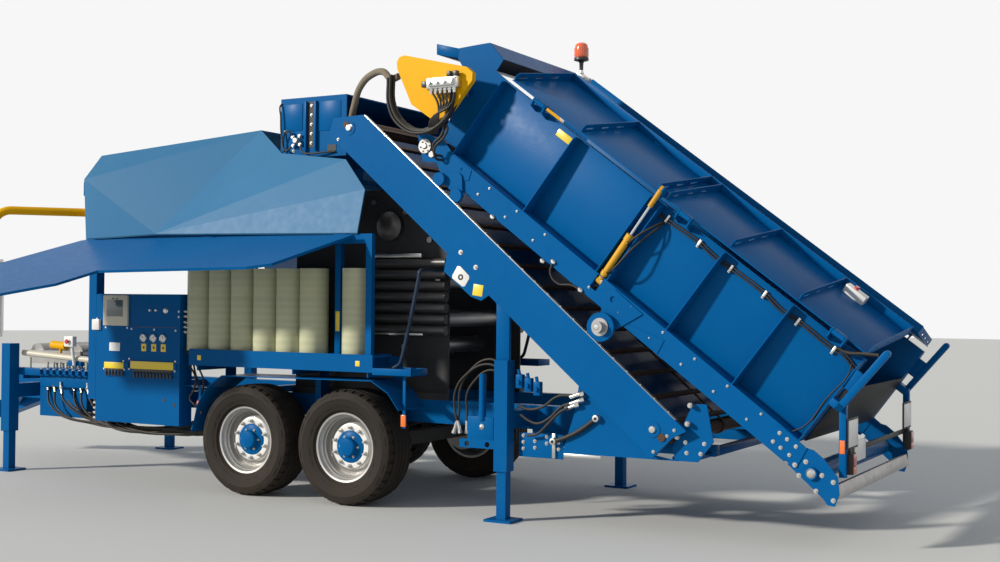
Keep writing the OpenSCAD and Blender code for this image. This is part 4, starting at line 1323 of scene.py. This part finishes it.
bm = bmesh.new()
for n in range(9):
    x = 2.575 + 0.090 * n
    bolt(bm, (x, 1.101, 1.036), ground, 0.007)
    for y, top in ((1.02, 1.110), (0.90, 1.095)):
        rod(bm, (x, y, 1.045), (x, y, top), 0.012, ground, 10)
rod(bm, (2.62, 1.06, 1.145), (3.60, 1.06, 1.195), 0.030, ground, 20)
rod(bm, (2.58, 1.06, 1.143), (2.62, 1.06, 1.145), 0.018, ground, 12)
for x in (2.70, 3.50):
    rod(bm, (x, 1.06, 0.98), (x, 1.06, 1.15), 0.012, ground, 10)
settle("front_tube", bm, "machine", cream)

bm = bmesh.new()
rod(bm, (3.215, 1.03, 1.285), (3.02, 1.03, 1.275), 0.040, ground, 24)
rod(bm, (3.10, 1.03, 1.20), (3.10, 1.03, 1.28), 0.014, ground, 10)
settle("front_roller", bm, "machine", orange)

# %% [markdown]
# Beside the tube a white switch box with a red button stands on a small blue beam.

# %% Stand the switch box beside the valves
bm = bmesh.new()
boxes(bm, ground, 0.006,
      ((3.200, 1.020, 0.970), (3.740, 1.100, 1.045)),
      ((2.760, 1.030, 1.080), (2.950, 1.080, 1.130)))
settle("front_beam", bm, "machine", blue)
bm = bmesh.new()
box(bm, (2.775, 1.120, 1.275), (2.900, 1.175, 1.378), ground, 0.008)
rod(bm, (2.83, 1.13, 1.28), (2.83, 1.10, 1.09), 0.016, ground, 10)
settle("switch_box", bm, "machine", white)
bm = bmesh.new()
knob(bm, mm((0, 1205), (20, 1203), (24, 1196), (14, 1190), (14, 1172), (0, 1172)),
     2.838, 1.327, ground, 20)
settle("stop_button", bm, "machine", red)

# %% [markdown]
# The valve block of the hopper sits on the yellow guard. Its hoses fan down, gather in
# a bundle round the guard's lower edge, and leave in one fabric sleeve that arches over
# to the feed box. Where a hose must follow the hopper, it ends at the hopper's side.

# %% Pipe the guard
bundle = mm((982, 374), (813, 176), (625, 120), (444, 176), (323, 346), (333, 540),
            (409, 640))
bundle_runs = []
for n in range(6):
    out, drop = 0.004 + 0.020 * (n % 3), 0.026 * (n // 3) + 0.008 * (n % 3)
    bundle_runs.append([(x + 0.012 * (n % 2), 1.226 + out, z - drop) for x, z in bundle])
hoses("guard_bundle", bundle_runs, 0.0125, hopper, "hopper")

# the valve block hangs level, whatever the hopper's pitch
valve = moved(hopper, 0.490, 0, 0.600) @ Matrix.Rotation(hopper_pitch, 4, "Y")
ports = (-0.110, -0.066, -0.022, 0.022, 0.066, 0.110)
fan = []
for n, x in enumerate(ports):
    fan.append([(x, guard_face + 0.050, -0.060),
                (0.6 * x - 0.02, guard_face + 0.048, -0.170),
                (0.050 + 0.014 * (5 - n), guard_face + 0.036, -0.290),
                (0.100 + 0.016 * (5 - n), 1.220, -0.400)])
hoses("guard_fan", fan, 0.009, valve, "hopper")
motor_runs = [
    mm((444, 1230, 176), (330, 1228, 300), (288, 1226, 321), (257, 1226, 240),
       (276, 1226, 110), (232, 1200, 46), (210, 1124, 48)),
    mm((462, 1244, 160), (350, 1240, 282), (312, 1236, 300), (282, 1234, 236),
       (300, 1232, 130), (262, 1200, 68), (240, 1124, 70)),
]
hoses("motor_hoses", motor_runs, 0.011, hopper, "hopper")

# %% [markdown]
# Thinner lines run along the hopper itself: two cables on the wall, the cylinder's
# hoses, a loop on the rail and the short ones at the tail.

# %% Pipe the hopper's wall
def at_side(run, y):
    return [(x, y, z) for x, z in run]


wall_cable = mm((-1560, 800), (-1630, 798), (-1983, 815), (-2153, 803), (-2298, 811),
                (-2626, 816), (-2785, 796), (-2947, 809), (-3269, 808), (-3336, 820),
                (-3470, 790))
wall_runs = [at_side(wall_cable, 0.982), [(x, 0.984, z - 0.022) for x, z in wall_cable]]
cylinder_runs = [
    mm((-1561, 1118, 470), (-1586, 1140, 550), (-1630, 1090, 680), (-1662, 985, 775)),
    mm((-1552, 1104, 190), (-1592, 1150, 260), (-1620, 1130, 480), (-1662, 988, 760)),
]
rail_loop = mm((-1458, -45), (-1378, -56), (-1263, -122), (-1161, -90), (-1134, -11))
tail_runs = [
    at_side(mm((-3438, 797), (-3464, 727), (-3449, 503), (-3463, 301)), 1.030),
    at_side(mm((-3452, 495), (-3449, 242), (-3400, 145)), 1.060),
]
tail_hose = mm((-3286, 827), (-3357, 841), (-3456, 907), (-3546, 964))
for name, runs, radius in (
    ("wall_cables", wall_runs, 0.007), ("cylinder_hoses", cylinder_runs, 0.009),
    ("rail_loop", [at_side(rail_loop, 1.128)], 0.009), ("tail_cables", tail_runs, 0.006),
    ("tail_hose", [at_side(tail_hose, 1.040)], 0.013),
):
    hoses(name, runs, radius, hopper, "hopper")

# %% [markdown]
# The sleeve rides on the machine, because its far end is fixed to the feed box. Its
# near end is the hopper's point, turned back into the ground's axes.

# %% Arch the sleeve over to the feed box
sleeve = finish("fabric_sleeve", (0.16, 0.135, 0.10), (0.24, 0.205, 0.15),
                rough=0.85, dust=0.4, peel=0.004, grain=300)
arch_end = ground.inverted() @ hopper @ Vector((0.982, 1.150, 0.374))
arch = mm((-330, 885, 3300), (-400, 950, 3345), (-476, 1020, 3440), (-596, 1080, 3622),
          (-742, 1110, 3706), (-861, 1130, 3711), (-960, 1150, 3640))
hoses("sleeve_arch", [arch + [(arch_end.x, 1.160, arch_end.z)]], 0.030, material=sleeve)

# %% [markdown]
# Clips hold the cables to the wall, nipples end the loops, and the valve block has its
# own ports, caps and black coils.

# %% Clip the cables and build the valve block
clips = mm((-1662, 812), (-1984, 812), (-2299, 808), (-2623, 812), (-2940, 806),
           (-3269, 804))
nipples = mm((-468, -51), (-1053, -63), (-1458, -45), (-1134, -11))
port_out = guard_face + 0.050

bm = bmesh.new()
for x, z in clips:
    box(bm, (x - 0.010, 0.966, z - 0.048), (x + 0.010, 0.994, z + 0.018), hopper)
    bolt(bm, (x, 0.994, z - 0.036), hopper, 0.006)
for x, z in nipples:
    rod(bm, (x - 0.020, 1.128, z), (x + 0.020, 1.128, z + 0.004), 0.014, hopper, 10)
    rod(bm, (x - 0.010, 1.128, z), (x + 0.010, 1.128, z + 0.002), 0.019, hopper, 6)
for x in ports:
    rod(bm, (x, port_out, -0.040), (x, port_out, -0.085), 0.013, valve, 10)
    rod(bm, (x, port_out, -0.044), (x, port_out, -0.062), 0.019, valve, 6)
boxes(bm, valve, 0.006,
      ((-0.150, guard_face - 0.002, -0.045), (0.150, guard_face + 0.070, 0.045)),
      ((-0.120, guard_face + 0.060, -0.030), (0.120, guard_face + 0.092, 0.030)))
for n in range(4):
    pin(bm, -0.105 + 0.070 * n, 0, guard_face + 0.090, guard_face + 0.112, 0.016, valve, 12)
    bolt(bm, (-0.126 + 0.084 * n, guard_face + 0.070, 0.035), valve, 0.007)
settle("hopper_fittings", bm, "hopper", zinc)

bm = bmesh.new()
for x in (-0.140, -0.080):
    box(bm, (x, guard_face + 0.020, 0.044), (x + 0.040, guard_face + 0.064, 0.092), valve,
        0.006)
box(bm, (0.149, guard_face + 0.015, -0.025), (0.205, guard_face + 0.060, 0.025), valve,
    0.006)
settle("valve_coils", bm, "hopper", black)
bm = bmesh.new()
box(bm, (-0.629, 0.9675, 0.772), (-0.459, 0.9692, 0.832), hopper, 0.0004)
settle("hopper_sticker", bm, "hopper", yellow)

# %% [markdown]
# A zinc-plated rubbing strip lies on the elevator's upper edge, held by carriage screws
# every 15 cm. The bearings' caps, the gusset's bolts and those of the base's plates
# follow, each standing on its own sheet.

# %% Bolt the elevator
bearing_cap = [(0.0, 0.022), (0.024, 0.020), (0.030, 0.006), (0.0, 0.006)]
tail_plate_bolts = mm((-3609, 718), (-3758, 716), (-3619, 640), (-3730, 640))

bm = bmesh.new()
for here, level in zip(sides(elevator), sides(ground)):
    box(bm, (0.120, edge - 0.034, -0.001), (3.880, edge - 0.001, 0.006), here, 0.001)
    for n in range(25):
        pin_at = (0.200 + 0.150 * n, edge - 0.016)
        rod(bm, (*pin_at, 0.004), (*pin_at, 0.011), 0.011, here, 10, 0.006)
    bolt(bm, (3.927, edge + 0.006, -0.158), here, 0.014)
    for x in (2.369, 2.180):
        bolt(bm, (x, edge, -0.258), here, 0.014)
    for x, z in ((3.959, -0.320), (0.074, -0.060), (0.088, -0.133), (0.089, -0.297)):
        bolt(bm, (x, edge, z), here, 0.009)
    for x in bosses:
        knob(bm, bearing_cap, x, -0.175, here, 28, edge)
    for x, z in tail_plate_bolts:
        bolt(bm, (x, 1.100, z), level)
    for n in range(9):
        x, z = -2.235 - 0.105 * (n % 4), 0.692 - 0.052 * (n // 4) - 0.04 * (n % 2)
        bolt(bm, (x, 1.106, z), level, 0.010)
    box(bm, (-2.920, 1.1115, 0.545), (-2.600, 1.118, 0.572), level)
    box(bm, (-2.530, 1.1055, 0.527), (-2.500, 1.125, 0.725), level, 0.004)
settle("elevator_bolts", bm, "machine", zinc)

# %% [markdown]
# A white plate with a dark ring sits on the gusset, and small yellow stickers mark the
# machine. They stay blank, and stand off by less than a millimetre so that they don't
# flicker against the paint.

# %% Put on plates and stickers
plate_line = mm((2318, -362), (2296, -346), (2182, -350), (2166, -366), (2156, -440),
                (2172, -458), (2290, -470), (2306, -452))
bm = bmesh.new()
plate(bm, plate_line, edge - 0.0005, edge + 0.003, elevator, 0.0008)
settle("elevator_plate", bm, "machine", white)

bm = bmesh.new()
ring_line = [(0.010, 0.003), (0.018, 0.005), (0.026, 0.003), (0.026, 0.002), (0.010, 0.002)]
lathe(bm, [(radius, edge + out) for radius, out in ring_line],
      moved(elevator, 2.236, 0, -0.410), 24)
settle("elevator_ring", bm, "machine", black)

bm = bmesh.new()
here = moved(ground, -1.850, 0, 1.850) @ Matrix.Rotation(math.radians(-8), 4, "Y")
box(bm, (-0.046, edge - 0.001, -0.046), (0.046, edge + 0.0008, 0.046), here, 0.0003)
for x in (1.065, -0.707):
    box(bm, (x - 0.022, 1.2475, 1.200), (x + 0.022, 1.2495, 1.245), ground, 0.0004)
box(bm, (-0.384, 1.069, 1.490), (-0.342, 1.0712, 1.662), ground, 0.0004)
settle("machine_stickers", bm, "machine", yellow)

# %% [markdown]
# The hopper's bearing plates, joint plates and rails are full of bolts, and the rear
# shaft, the support roller and the motor have turned caps.

# %% Bolt the hopper
bearing_bolts = mm((-3619, 58), (-3640, -53), (-3765, 56), (-3856, 71), (-3800, -60),
                   (-3934, -32))
joint_face = 1.128
bm = bmesh.new()
for here in sides(hopper):
    for x, z in bearing_bolts:
        bolt(bm, (x, rail_out, z), here, 0.012)
    bolt(bm, (-3.573, joint_face, -0.010), here, 0.012)
    for z in (0.100, 0.020):
        for x in (-3.350, -3.420, -3.500):
            bolt(bm, (x, joint_face, z), here, 0.010)
    knob(bm, mm((0, 1168), (22, 1166), (30, 1158), (36, 1150), (0, 1150)), *shaft, here, 28)
    knob(bm, mm((0, 1256), (16, 1255), (20, 1250), (0, 1250)), *roller_pin, here, 24)
    for x in (-0.300, -0.620, -0.940, -1.560, -1.880, -2.200, -2.520, -2.840, -3.160):
        bolt(bm, (x, rail_out, 0.118), here, 0.007)
        bolt(bm, (x + 0.060, rail_out, 0.018), here, 0.007)
    for x, z in round_points(6, 0.044, *motor, 0.3):
        bolt(bm, (x, 1.142, z), here, 0.007)
    knob(bm, mm((0, 1156), (20, 1155), (28, 1142), (0, 1142)), *motor, here, 24)
settle("hopper_bolts", bm, "hopper", zinc)

# %% [markdown]
# The feed box over the chamber is bolted together from panels. A ribbed strip, light
# edges and a small valve with a knob show on its side, and thin hoses run about it.

# %% Panel the feed box
box_side = 0.870
bm, bm_dark = bmesh.new(), bmesh.new()
for here in sides(ground):
    boxes(bm, here, 0.002,
          ((0.200, box_side - 0.001, 3.300), (0.438, box_side + 0.005, 3.545)),
          ((-0.230, box_side - 0.001, 3.285), (0.020, box_side + 0.005, 3.552)),
          ((0.030, box_side - 0.001, 3.110), (0.050, box_side + 0.030, 3.560)),
          ((0.140, box_side - 0.001, 3.110), (0.160, box_side + 0.030, 3.560)))
    boxes(bm_dark, here, 0,
          ((0.050, box_side - 0.001, 3.140), (0.140, box_side + 0.004, 3.556)),
          ((-0.180, box_side - 0.001, 3.100), (-0.085, box_side + 0.004, 3.155)))
settle("feed_panels", bm, "machine", blue)
settle("feed_strip", bm_dark, "machine", dark)

# %% [markdown]
# The valve is a turned knob with four ports about it. Bolts run down the dark strip.

# %% Fit the feed box with its valve and hoses
feed_valve = (0.245, 3.205)
bm = bmesh.new()
for here in sides(ground):
    for n in range(5):
        bolt(bm, (0.095, box_side + 0.004, 3.180 + 0.085 * n), here, 0.009)
    for x, z in ((-0.235, 3.220), (0.300, 3.120), (0.395, 3.300)):
        bolt(bm, (x, box_side, z), here, 0.012)
    for x, z in round_points(4, 0.055, *feed_valve, 0.7):
        pin(bm, x, z, box_side, box_side + 0.045, 0.012, here, 10)
        pin(bm, x, z, box_side + 0.020, box_side + 0.034, 0.018, here, 6)
    knob(bm, [(0.0, 0.060), (0.022, 0.058), (0.034, 0.030), (0.038, -0.002), (0.0, -0.002)],
         *feed_valve, here, 24, box_side)
settle("feed_fittings", bm, "machine", zinc)
hoses("feed_hoses", [
    mm((300, 900, 3160), (360, 905, 3120), (410, 905, 3240), (430, 900, 3440),
       (440, 890, 3540), (430, 840, 3560)),
    mm((200, 900, 3160), (170, 910, 3100), (90, 915, 3080), (-50, 905, 3085),
       (-180, 880, 3090)),
    mm((290, 900, 3250), (340, 915, 3300), (390, 905, 3240), (395, 890, 3110)),
], 0.008)

# %% [markdown]
# Behind the wheels, the elevator's low end and the rear leg carry blue couplings and
# pairs of hoses that run back to the tail. The wheel-side cables loop between the
# cabinet and the mudguard.

# %% Pipe the rear
rear_runs = [
    at_side(mm((-2702, 979), (-2602, 944), (-2479, 838), (-2389, 798), (-2320, 810),
               (-2230, 860)), 1.150),
    at_side(mm((-2658, 937), (-2580, 893), (-2480, 798), (-2378, 712), (-2300, 700)), 1.160),
    at_side(mm((-2700, 1030), (-2560, 1020), (-2420, 930), (-2300, 905), (-2200, 930)),
            1.140),
]
thick_run = mm((-2890, 863), (-2749, 762), (-2611, 694), (-2520, 664))
leg_runs = [
    at_side(mm((-2040, 1255), (-1900, 1290), (-1740, 1200), (-1635, 1032), (-1627, 822),
               (-1592, 715)), 1.100),
    at_side(mm((-2040, 1215), (-1890, 1250), (-1710, 1165), (-1600, 1020), (-1600, 850),
               (-1640, 720)), 1.115),
    at_side(mm((-2040, 1175), (-1900, 1200), (-1770, 1110), (-1695, 990), (-1700, 860),
               (-1700, 720)), 1.090),
]
wheel_runs = [
    at_side(mm((1310, 1350), (1250, 1250), (1200, 1080), (1150, 940), (1130, 830)), 1.150),
    at_side(mm((1310, 1300), (1230, 1200), (1130, 1100), (1080, 980), (1130, 850),
               (1180, 760)), 1.165),
    at_side(mm((1250, 1150), (1170, 1020), (1200, 900), (1240, 840), (1180, 780)), 1.175),
]
hoses("rear_hoses", rear_runs, 0.011)
hoses("rear_thick_hose", [at_side(thick_run, 1.136)], 0.018)
hoses("leg_hoses", leg_runs, 0.010)
hoses("wheel_cables", wheel_runs, 0.009)

# %% [markdown]
# Each of these hoses ends in a crimped sleeve and a nut. The leg's are laid along the
# last stretch of their hose, which is why the direction is taken from the run itself.

# %% End the rear hoses
bm = bmesh.new()
for run in leg_runs:
    towards = (Vector(run[-2]) - Vector(run[-1])).normalized()
    end = Vector(run[-1])
    rod(bm, end - towards * 0.03, end + towards * 0.06, 0.016, ground, 12)
    rod(bm, end - towards * 0.045, end - towards * 0.02, 0.021, ground, 6)
for run in rear_runs:
    x, y, z = run[0]
    rod(bm, (x + 0.030, 1.150, z - 0.012), (x - 0.060, 1.145, z + 0.020), 0.015, ground, 12)
    rod(bm, (x - 0.050, 1.146, z + 0.016), (x - 0.085, 1.140, z + 0.026), 0.021, ground, 6)
hose_collar = mm((12, 1160), (26, 1158), (30, 1140), (30, 1112), (12, 1112))
for x, z in (thick_run[0], thick_run[-1]):
    lathe(bm, hose_collar, moved(ground, x, 0, z), 20)
for x, z in ((-3.560, 0.760), (-3.661, 1.000), (-3.640, 0.861)):
    pin(bm, x, z, 1.098, 1.150, 0.020, ground, 14)
    pin(bm, x, z, 1.150, 1.168, 0.014, ground, 6)
knob(bm, mm((0, 1178), (10, 1176), (24, 1165), (27, 1150), (0, 1150)), -1.880, 0.745,
     ground, 20)
settle("rear_fittings", bm, "machine", zinc)

bm = bmesh.new()
for n in range(3):
    x, z = -2.220 - 0.080 * n, 1.120 - 0.026 * n
    box(bm, (x - 0.030, 1.111, z - 0.050), (x + 0.030, 1.165, z + 0.060), ground, 0.006)
    rod(bm, (x, 1.150, z + 0.055), (x + 0.010, 1.150, z + 0.100), 0.014, ground, 10)
    pin(bm, x, z, 1.160, 1.188, 0.017, ground, 12)
settle("rear_couplings", bm, "machine", blue)

# %% [markdown]
# Lamps and reflectors are what other drivers see. Each lamp has a dark case with a red
# and an amber lens in front, and hangs under a board with a white face. The board is
# thin and has its edges rounded, because on the real one its rim is turned over.

# %% Mount the lamps
amber = finish("beacon_amber", (0.80, 0.085, 0.010), (0.90, 0.16, 0.012),
               rough=0.10, dust=0.04, coat=0.9)
reflector = finish("reflector_orange", (0.85, 0.17, 0.012), rough=0.15, dust=0.1, coat=0.8)
top = lamp_top.z
back = axle_mid + lamp_top.x - 0.035
board = back - 0.026

bm, bm_red, bm_amber, bm_white = [bmesh.new() for n in range(4)]
for here in sides(as_drawn):
    box(bm, (board - 0.006, 0.750, top - 0.283), (board + 0.006, 1.040, top - 0.063), here,
        0.003)
    box(bm, (back - 0.060, 0.900, top - 0.463), (back, 1.000, top - 0.308), here, 0.010)
    box(bm, (board - 0.004, 0.930, top - 0.330), (board + 0.010, 0.970, top - 0.270), here)
    box(bm_red, (back - 0.063, 0.906, top - 0.402), (back - 0.0595, 0.994, top - 0.316),
        here, 0.003)
    box(bm_amber, (back - 0.063, 0.906, top - 0.455), (back - 0.0595, 0.994, top - 0.408),
        here, 0.003)
    box(bm_white, (board - 0.008, 0.765, top - 0.268), (board - 0.0065, 1.025, top - 0.078),
        here, 0.001)
boards = settle("board_backs", bm, "hopper", dark)
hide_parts("lamp_boards")
settle("lamp_glass", bm_red, "hopper", red)
settle("lamp_amber", bm_amber, "hopper", reflector)
settle("board_faces", bm_white, "hopper", white)

# %% [markdown]
# A bar joins the two posts and holds a blank number plate. Orange reflectors sit on the
# posts and, on short straps, along the side.

# %% Mount the plate and the reflectors
bm = bmesh.new()
for here in sides(lamp_axes):
    box(bm, (-0.048, 1.049, -0.310), (-0.012, 1.055, -0.215), here)
settle("post_reflectors", bm, "hopper", reflector)
bm = bmesh.new()
box(bm, (-0.035, -1.001, -0.330), (-0.015, 1.001, -0.295), lamp_axes)
settle("plate_bar", bm, "hopper", dark)
bm = bmesh.new()
box(bm, (-0.041, 0.420, -0.400), (-0.034, 0.740, -0.250), lamp_axes, 0.001)
settle("blank_plate", bm, "hopper", white)
bm = bmesh.new()
boxes(bm, ground, 0.003,
      ((-1.160, 1.176, 0.705), (-1.112, 1.190, 0.805)),
      ((1.092, 1.176, 0.705), (1.140, 1.190, 0.820)))
settle("side_reflectors", bm, "machine", reflector)
bm = bmesh.new()
boxes(bm, ground, 0.002,
      ((-1.150, 1.170, 0.690), (-1.122, 1.177, 1.170)),
      ((1.102, 1.170, 0.690), (1.130, 1.177, 0.960)),
      ((1.102, 1.130, 0.950), (1.320, 1.177, 0.958)))
plate(bm, mm((1140, 700), (1110, 700), (1190, 545), (1225, 552)), 1.168, 1.176, ground,
      0.001)
settle("reflector_straps", bm, "machine", blue)

# %% [markdown]
# The flashing light stands on a short stem on the hopper's front beam. Its amber lens
# is turned, and thin rods laid on it make the vertical ribs of the pressing.

# %% Stand up the flashing light
beacon_foot = Vector((axle_mid - 1.839, -0.720, 3.9357))
spot = Matrix.Translation(beacon_foot) @ upright
lens_line = mm((0, 124), (64, 124), (66, 130), (66, 172), (63, 222), (56, 246), (40, 259),
               (0, 263))
base_line = mm((0, 126), (60, 126), (69, 120), (70, 98), (64, 94), (30, 88), (20, 70),
               (18, 4), (0, 0))

bm = bmesh.new()
lathe(bm, lens_line, spot, 36, closed=False)
for low, high in zip(round_points(24, 0.0655), round_points(24, 0.0640)):
    rod(bm, beacon_foot + Vector((*low, 0.134)), beacon_foot + Vector((*high, 0.210)),
        0.0025, as_drawn, 6)
settle("beacon_lens", bm, "hopper", amber)

bm = bmesh.new()
lathe(bm, base_line, spot, 36, closed=False)
beacon_base = settle("beacon_base", bm, "hopper", black)
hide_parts("beacon")

bm = bmesh.new()
rod(bm, (0.472, -0.720, 1.024), (0.514, -0.720, 1.084), 0.016, hopper, 20)
rod(bm, (0.496, -0.720, 1.058), (0.506, -0.720, 1.072), 0.026, hopper, 20)
box(bm, (0.420, -0.785, 1.014), (0.506, -0.655, 1.062), hopper, 0.004)
settle("beacon_stem", bm, "hopper", zinc)

# %% [markdown]
# Between the film and the elevator one looks at the side of the press: its row of
# rollers between two ledges, the end of a larger one above, and the bent handrail
# beside the step. The rail is a curve with a round section, as the real one is a bent
# tube.

# %% Fit the press side
roller_grey = finish("roller_grey", (0.10, 0.105, 0.115), (0.06, 0.055, 0.05),
                     rough=0.36, dust=0.2, metal=0.6)
roller_end = mm((0, 740), (60, 738), (105, 715), (130, 700), (130, 650), (0, 650))
rail_points = mm((-1245, 640, 2020), (-1245, 900, 2020), (-1240, 1060, 2020),
                 (-1232, 1100, 2008), (-1224, 1102, 1960), (-1060, 1100, 1280),
                 (-1040, 1100, 1230), (-1000, 1100, 1200), (-900, 1100, 1176))

bm, bm_ledge = bmesh.new(), bmesh.new()
for here in sides(ground):
    for n in range(7):
        z = 2.090 - 0.098 * n
        rod(bm, (-1.245, 0.690, z), (-0.480, 0.690, z), 0.042, here, 28)
    knob(bm, roller_end, -0.640, 2.420, here, 32)
    boxes(bm_ledge, here, 0.004,
          ((-1.000, 0.650, 2.140), (-0.480, 0.720, 2.175)),
          ((-1.020, 0.650, 1.455), (-0.480, 0.720, 1.480)))
settle("press_ribs", bm, "machine", roller_grey)
settle("press_ledges", bm_ledge, "machine", zinc)
rail_runs = [[(x, side * y, z) for x, y, z in rail_points] for side in both]
# The rails wear the machine blue darkened with painted shade.
hoses("step_rails", rail_runs, 0.016, material=rail_blue_painted_shade)

# %% [markdown]
# The machine stands on a pale studio floor. It is only there for the picture.

# %% Lay the floor
floor_radius = 60
bm = bmesh.new()
bmesh.ops.create_circle(bm, cap_ends=True, radius=floor_radius, segments=64)
floor_mesh = bpy.data.meshes.new("floor")
bm.to_mesh(floor_mesh)
bm.free()
floor = bpy.data.objects.new("floor", floor_mesh)
scene.collection.objects.link(floor)
floor_paint = bpy.data.materials.new("floor_paint")
floor_paint.use_nodes = True
set_inputs(floor_paint.node_tree.nodes["Principled BSDF"],
           Base_Color=(0.62, 0.62, 0.6, 1), Roughness=0.9)
floor_mesh.materials.append(floor_paint)
print("the floor reaches", floor_radius, "metres out")
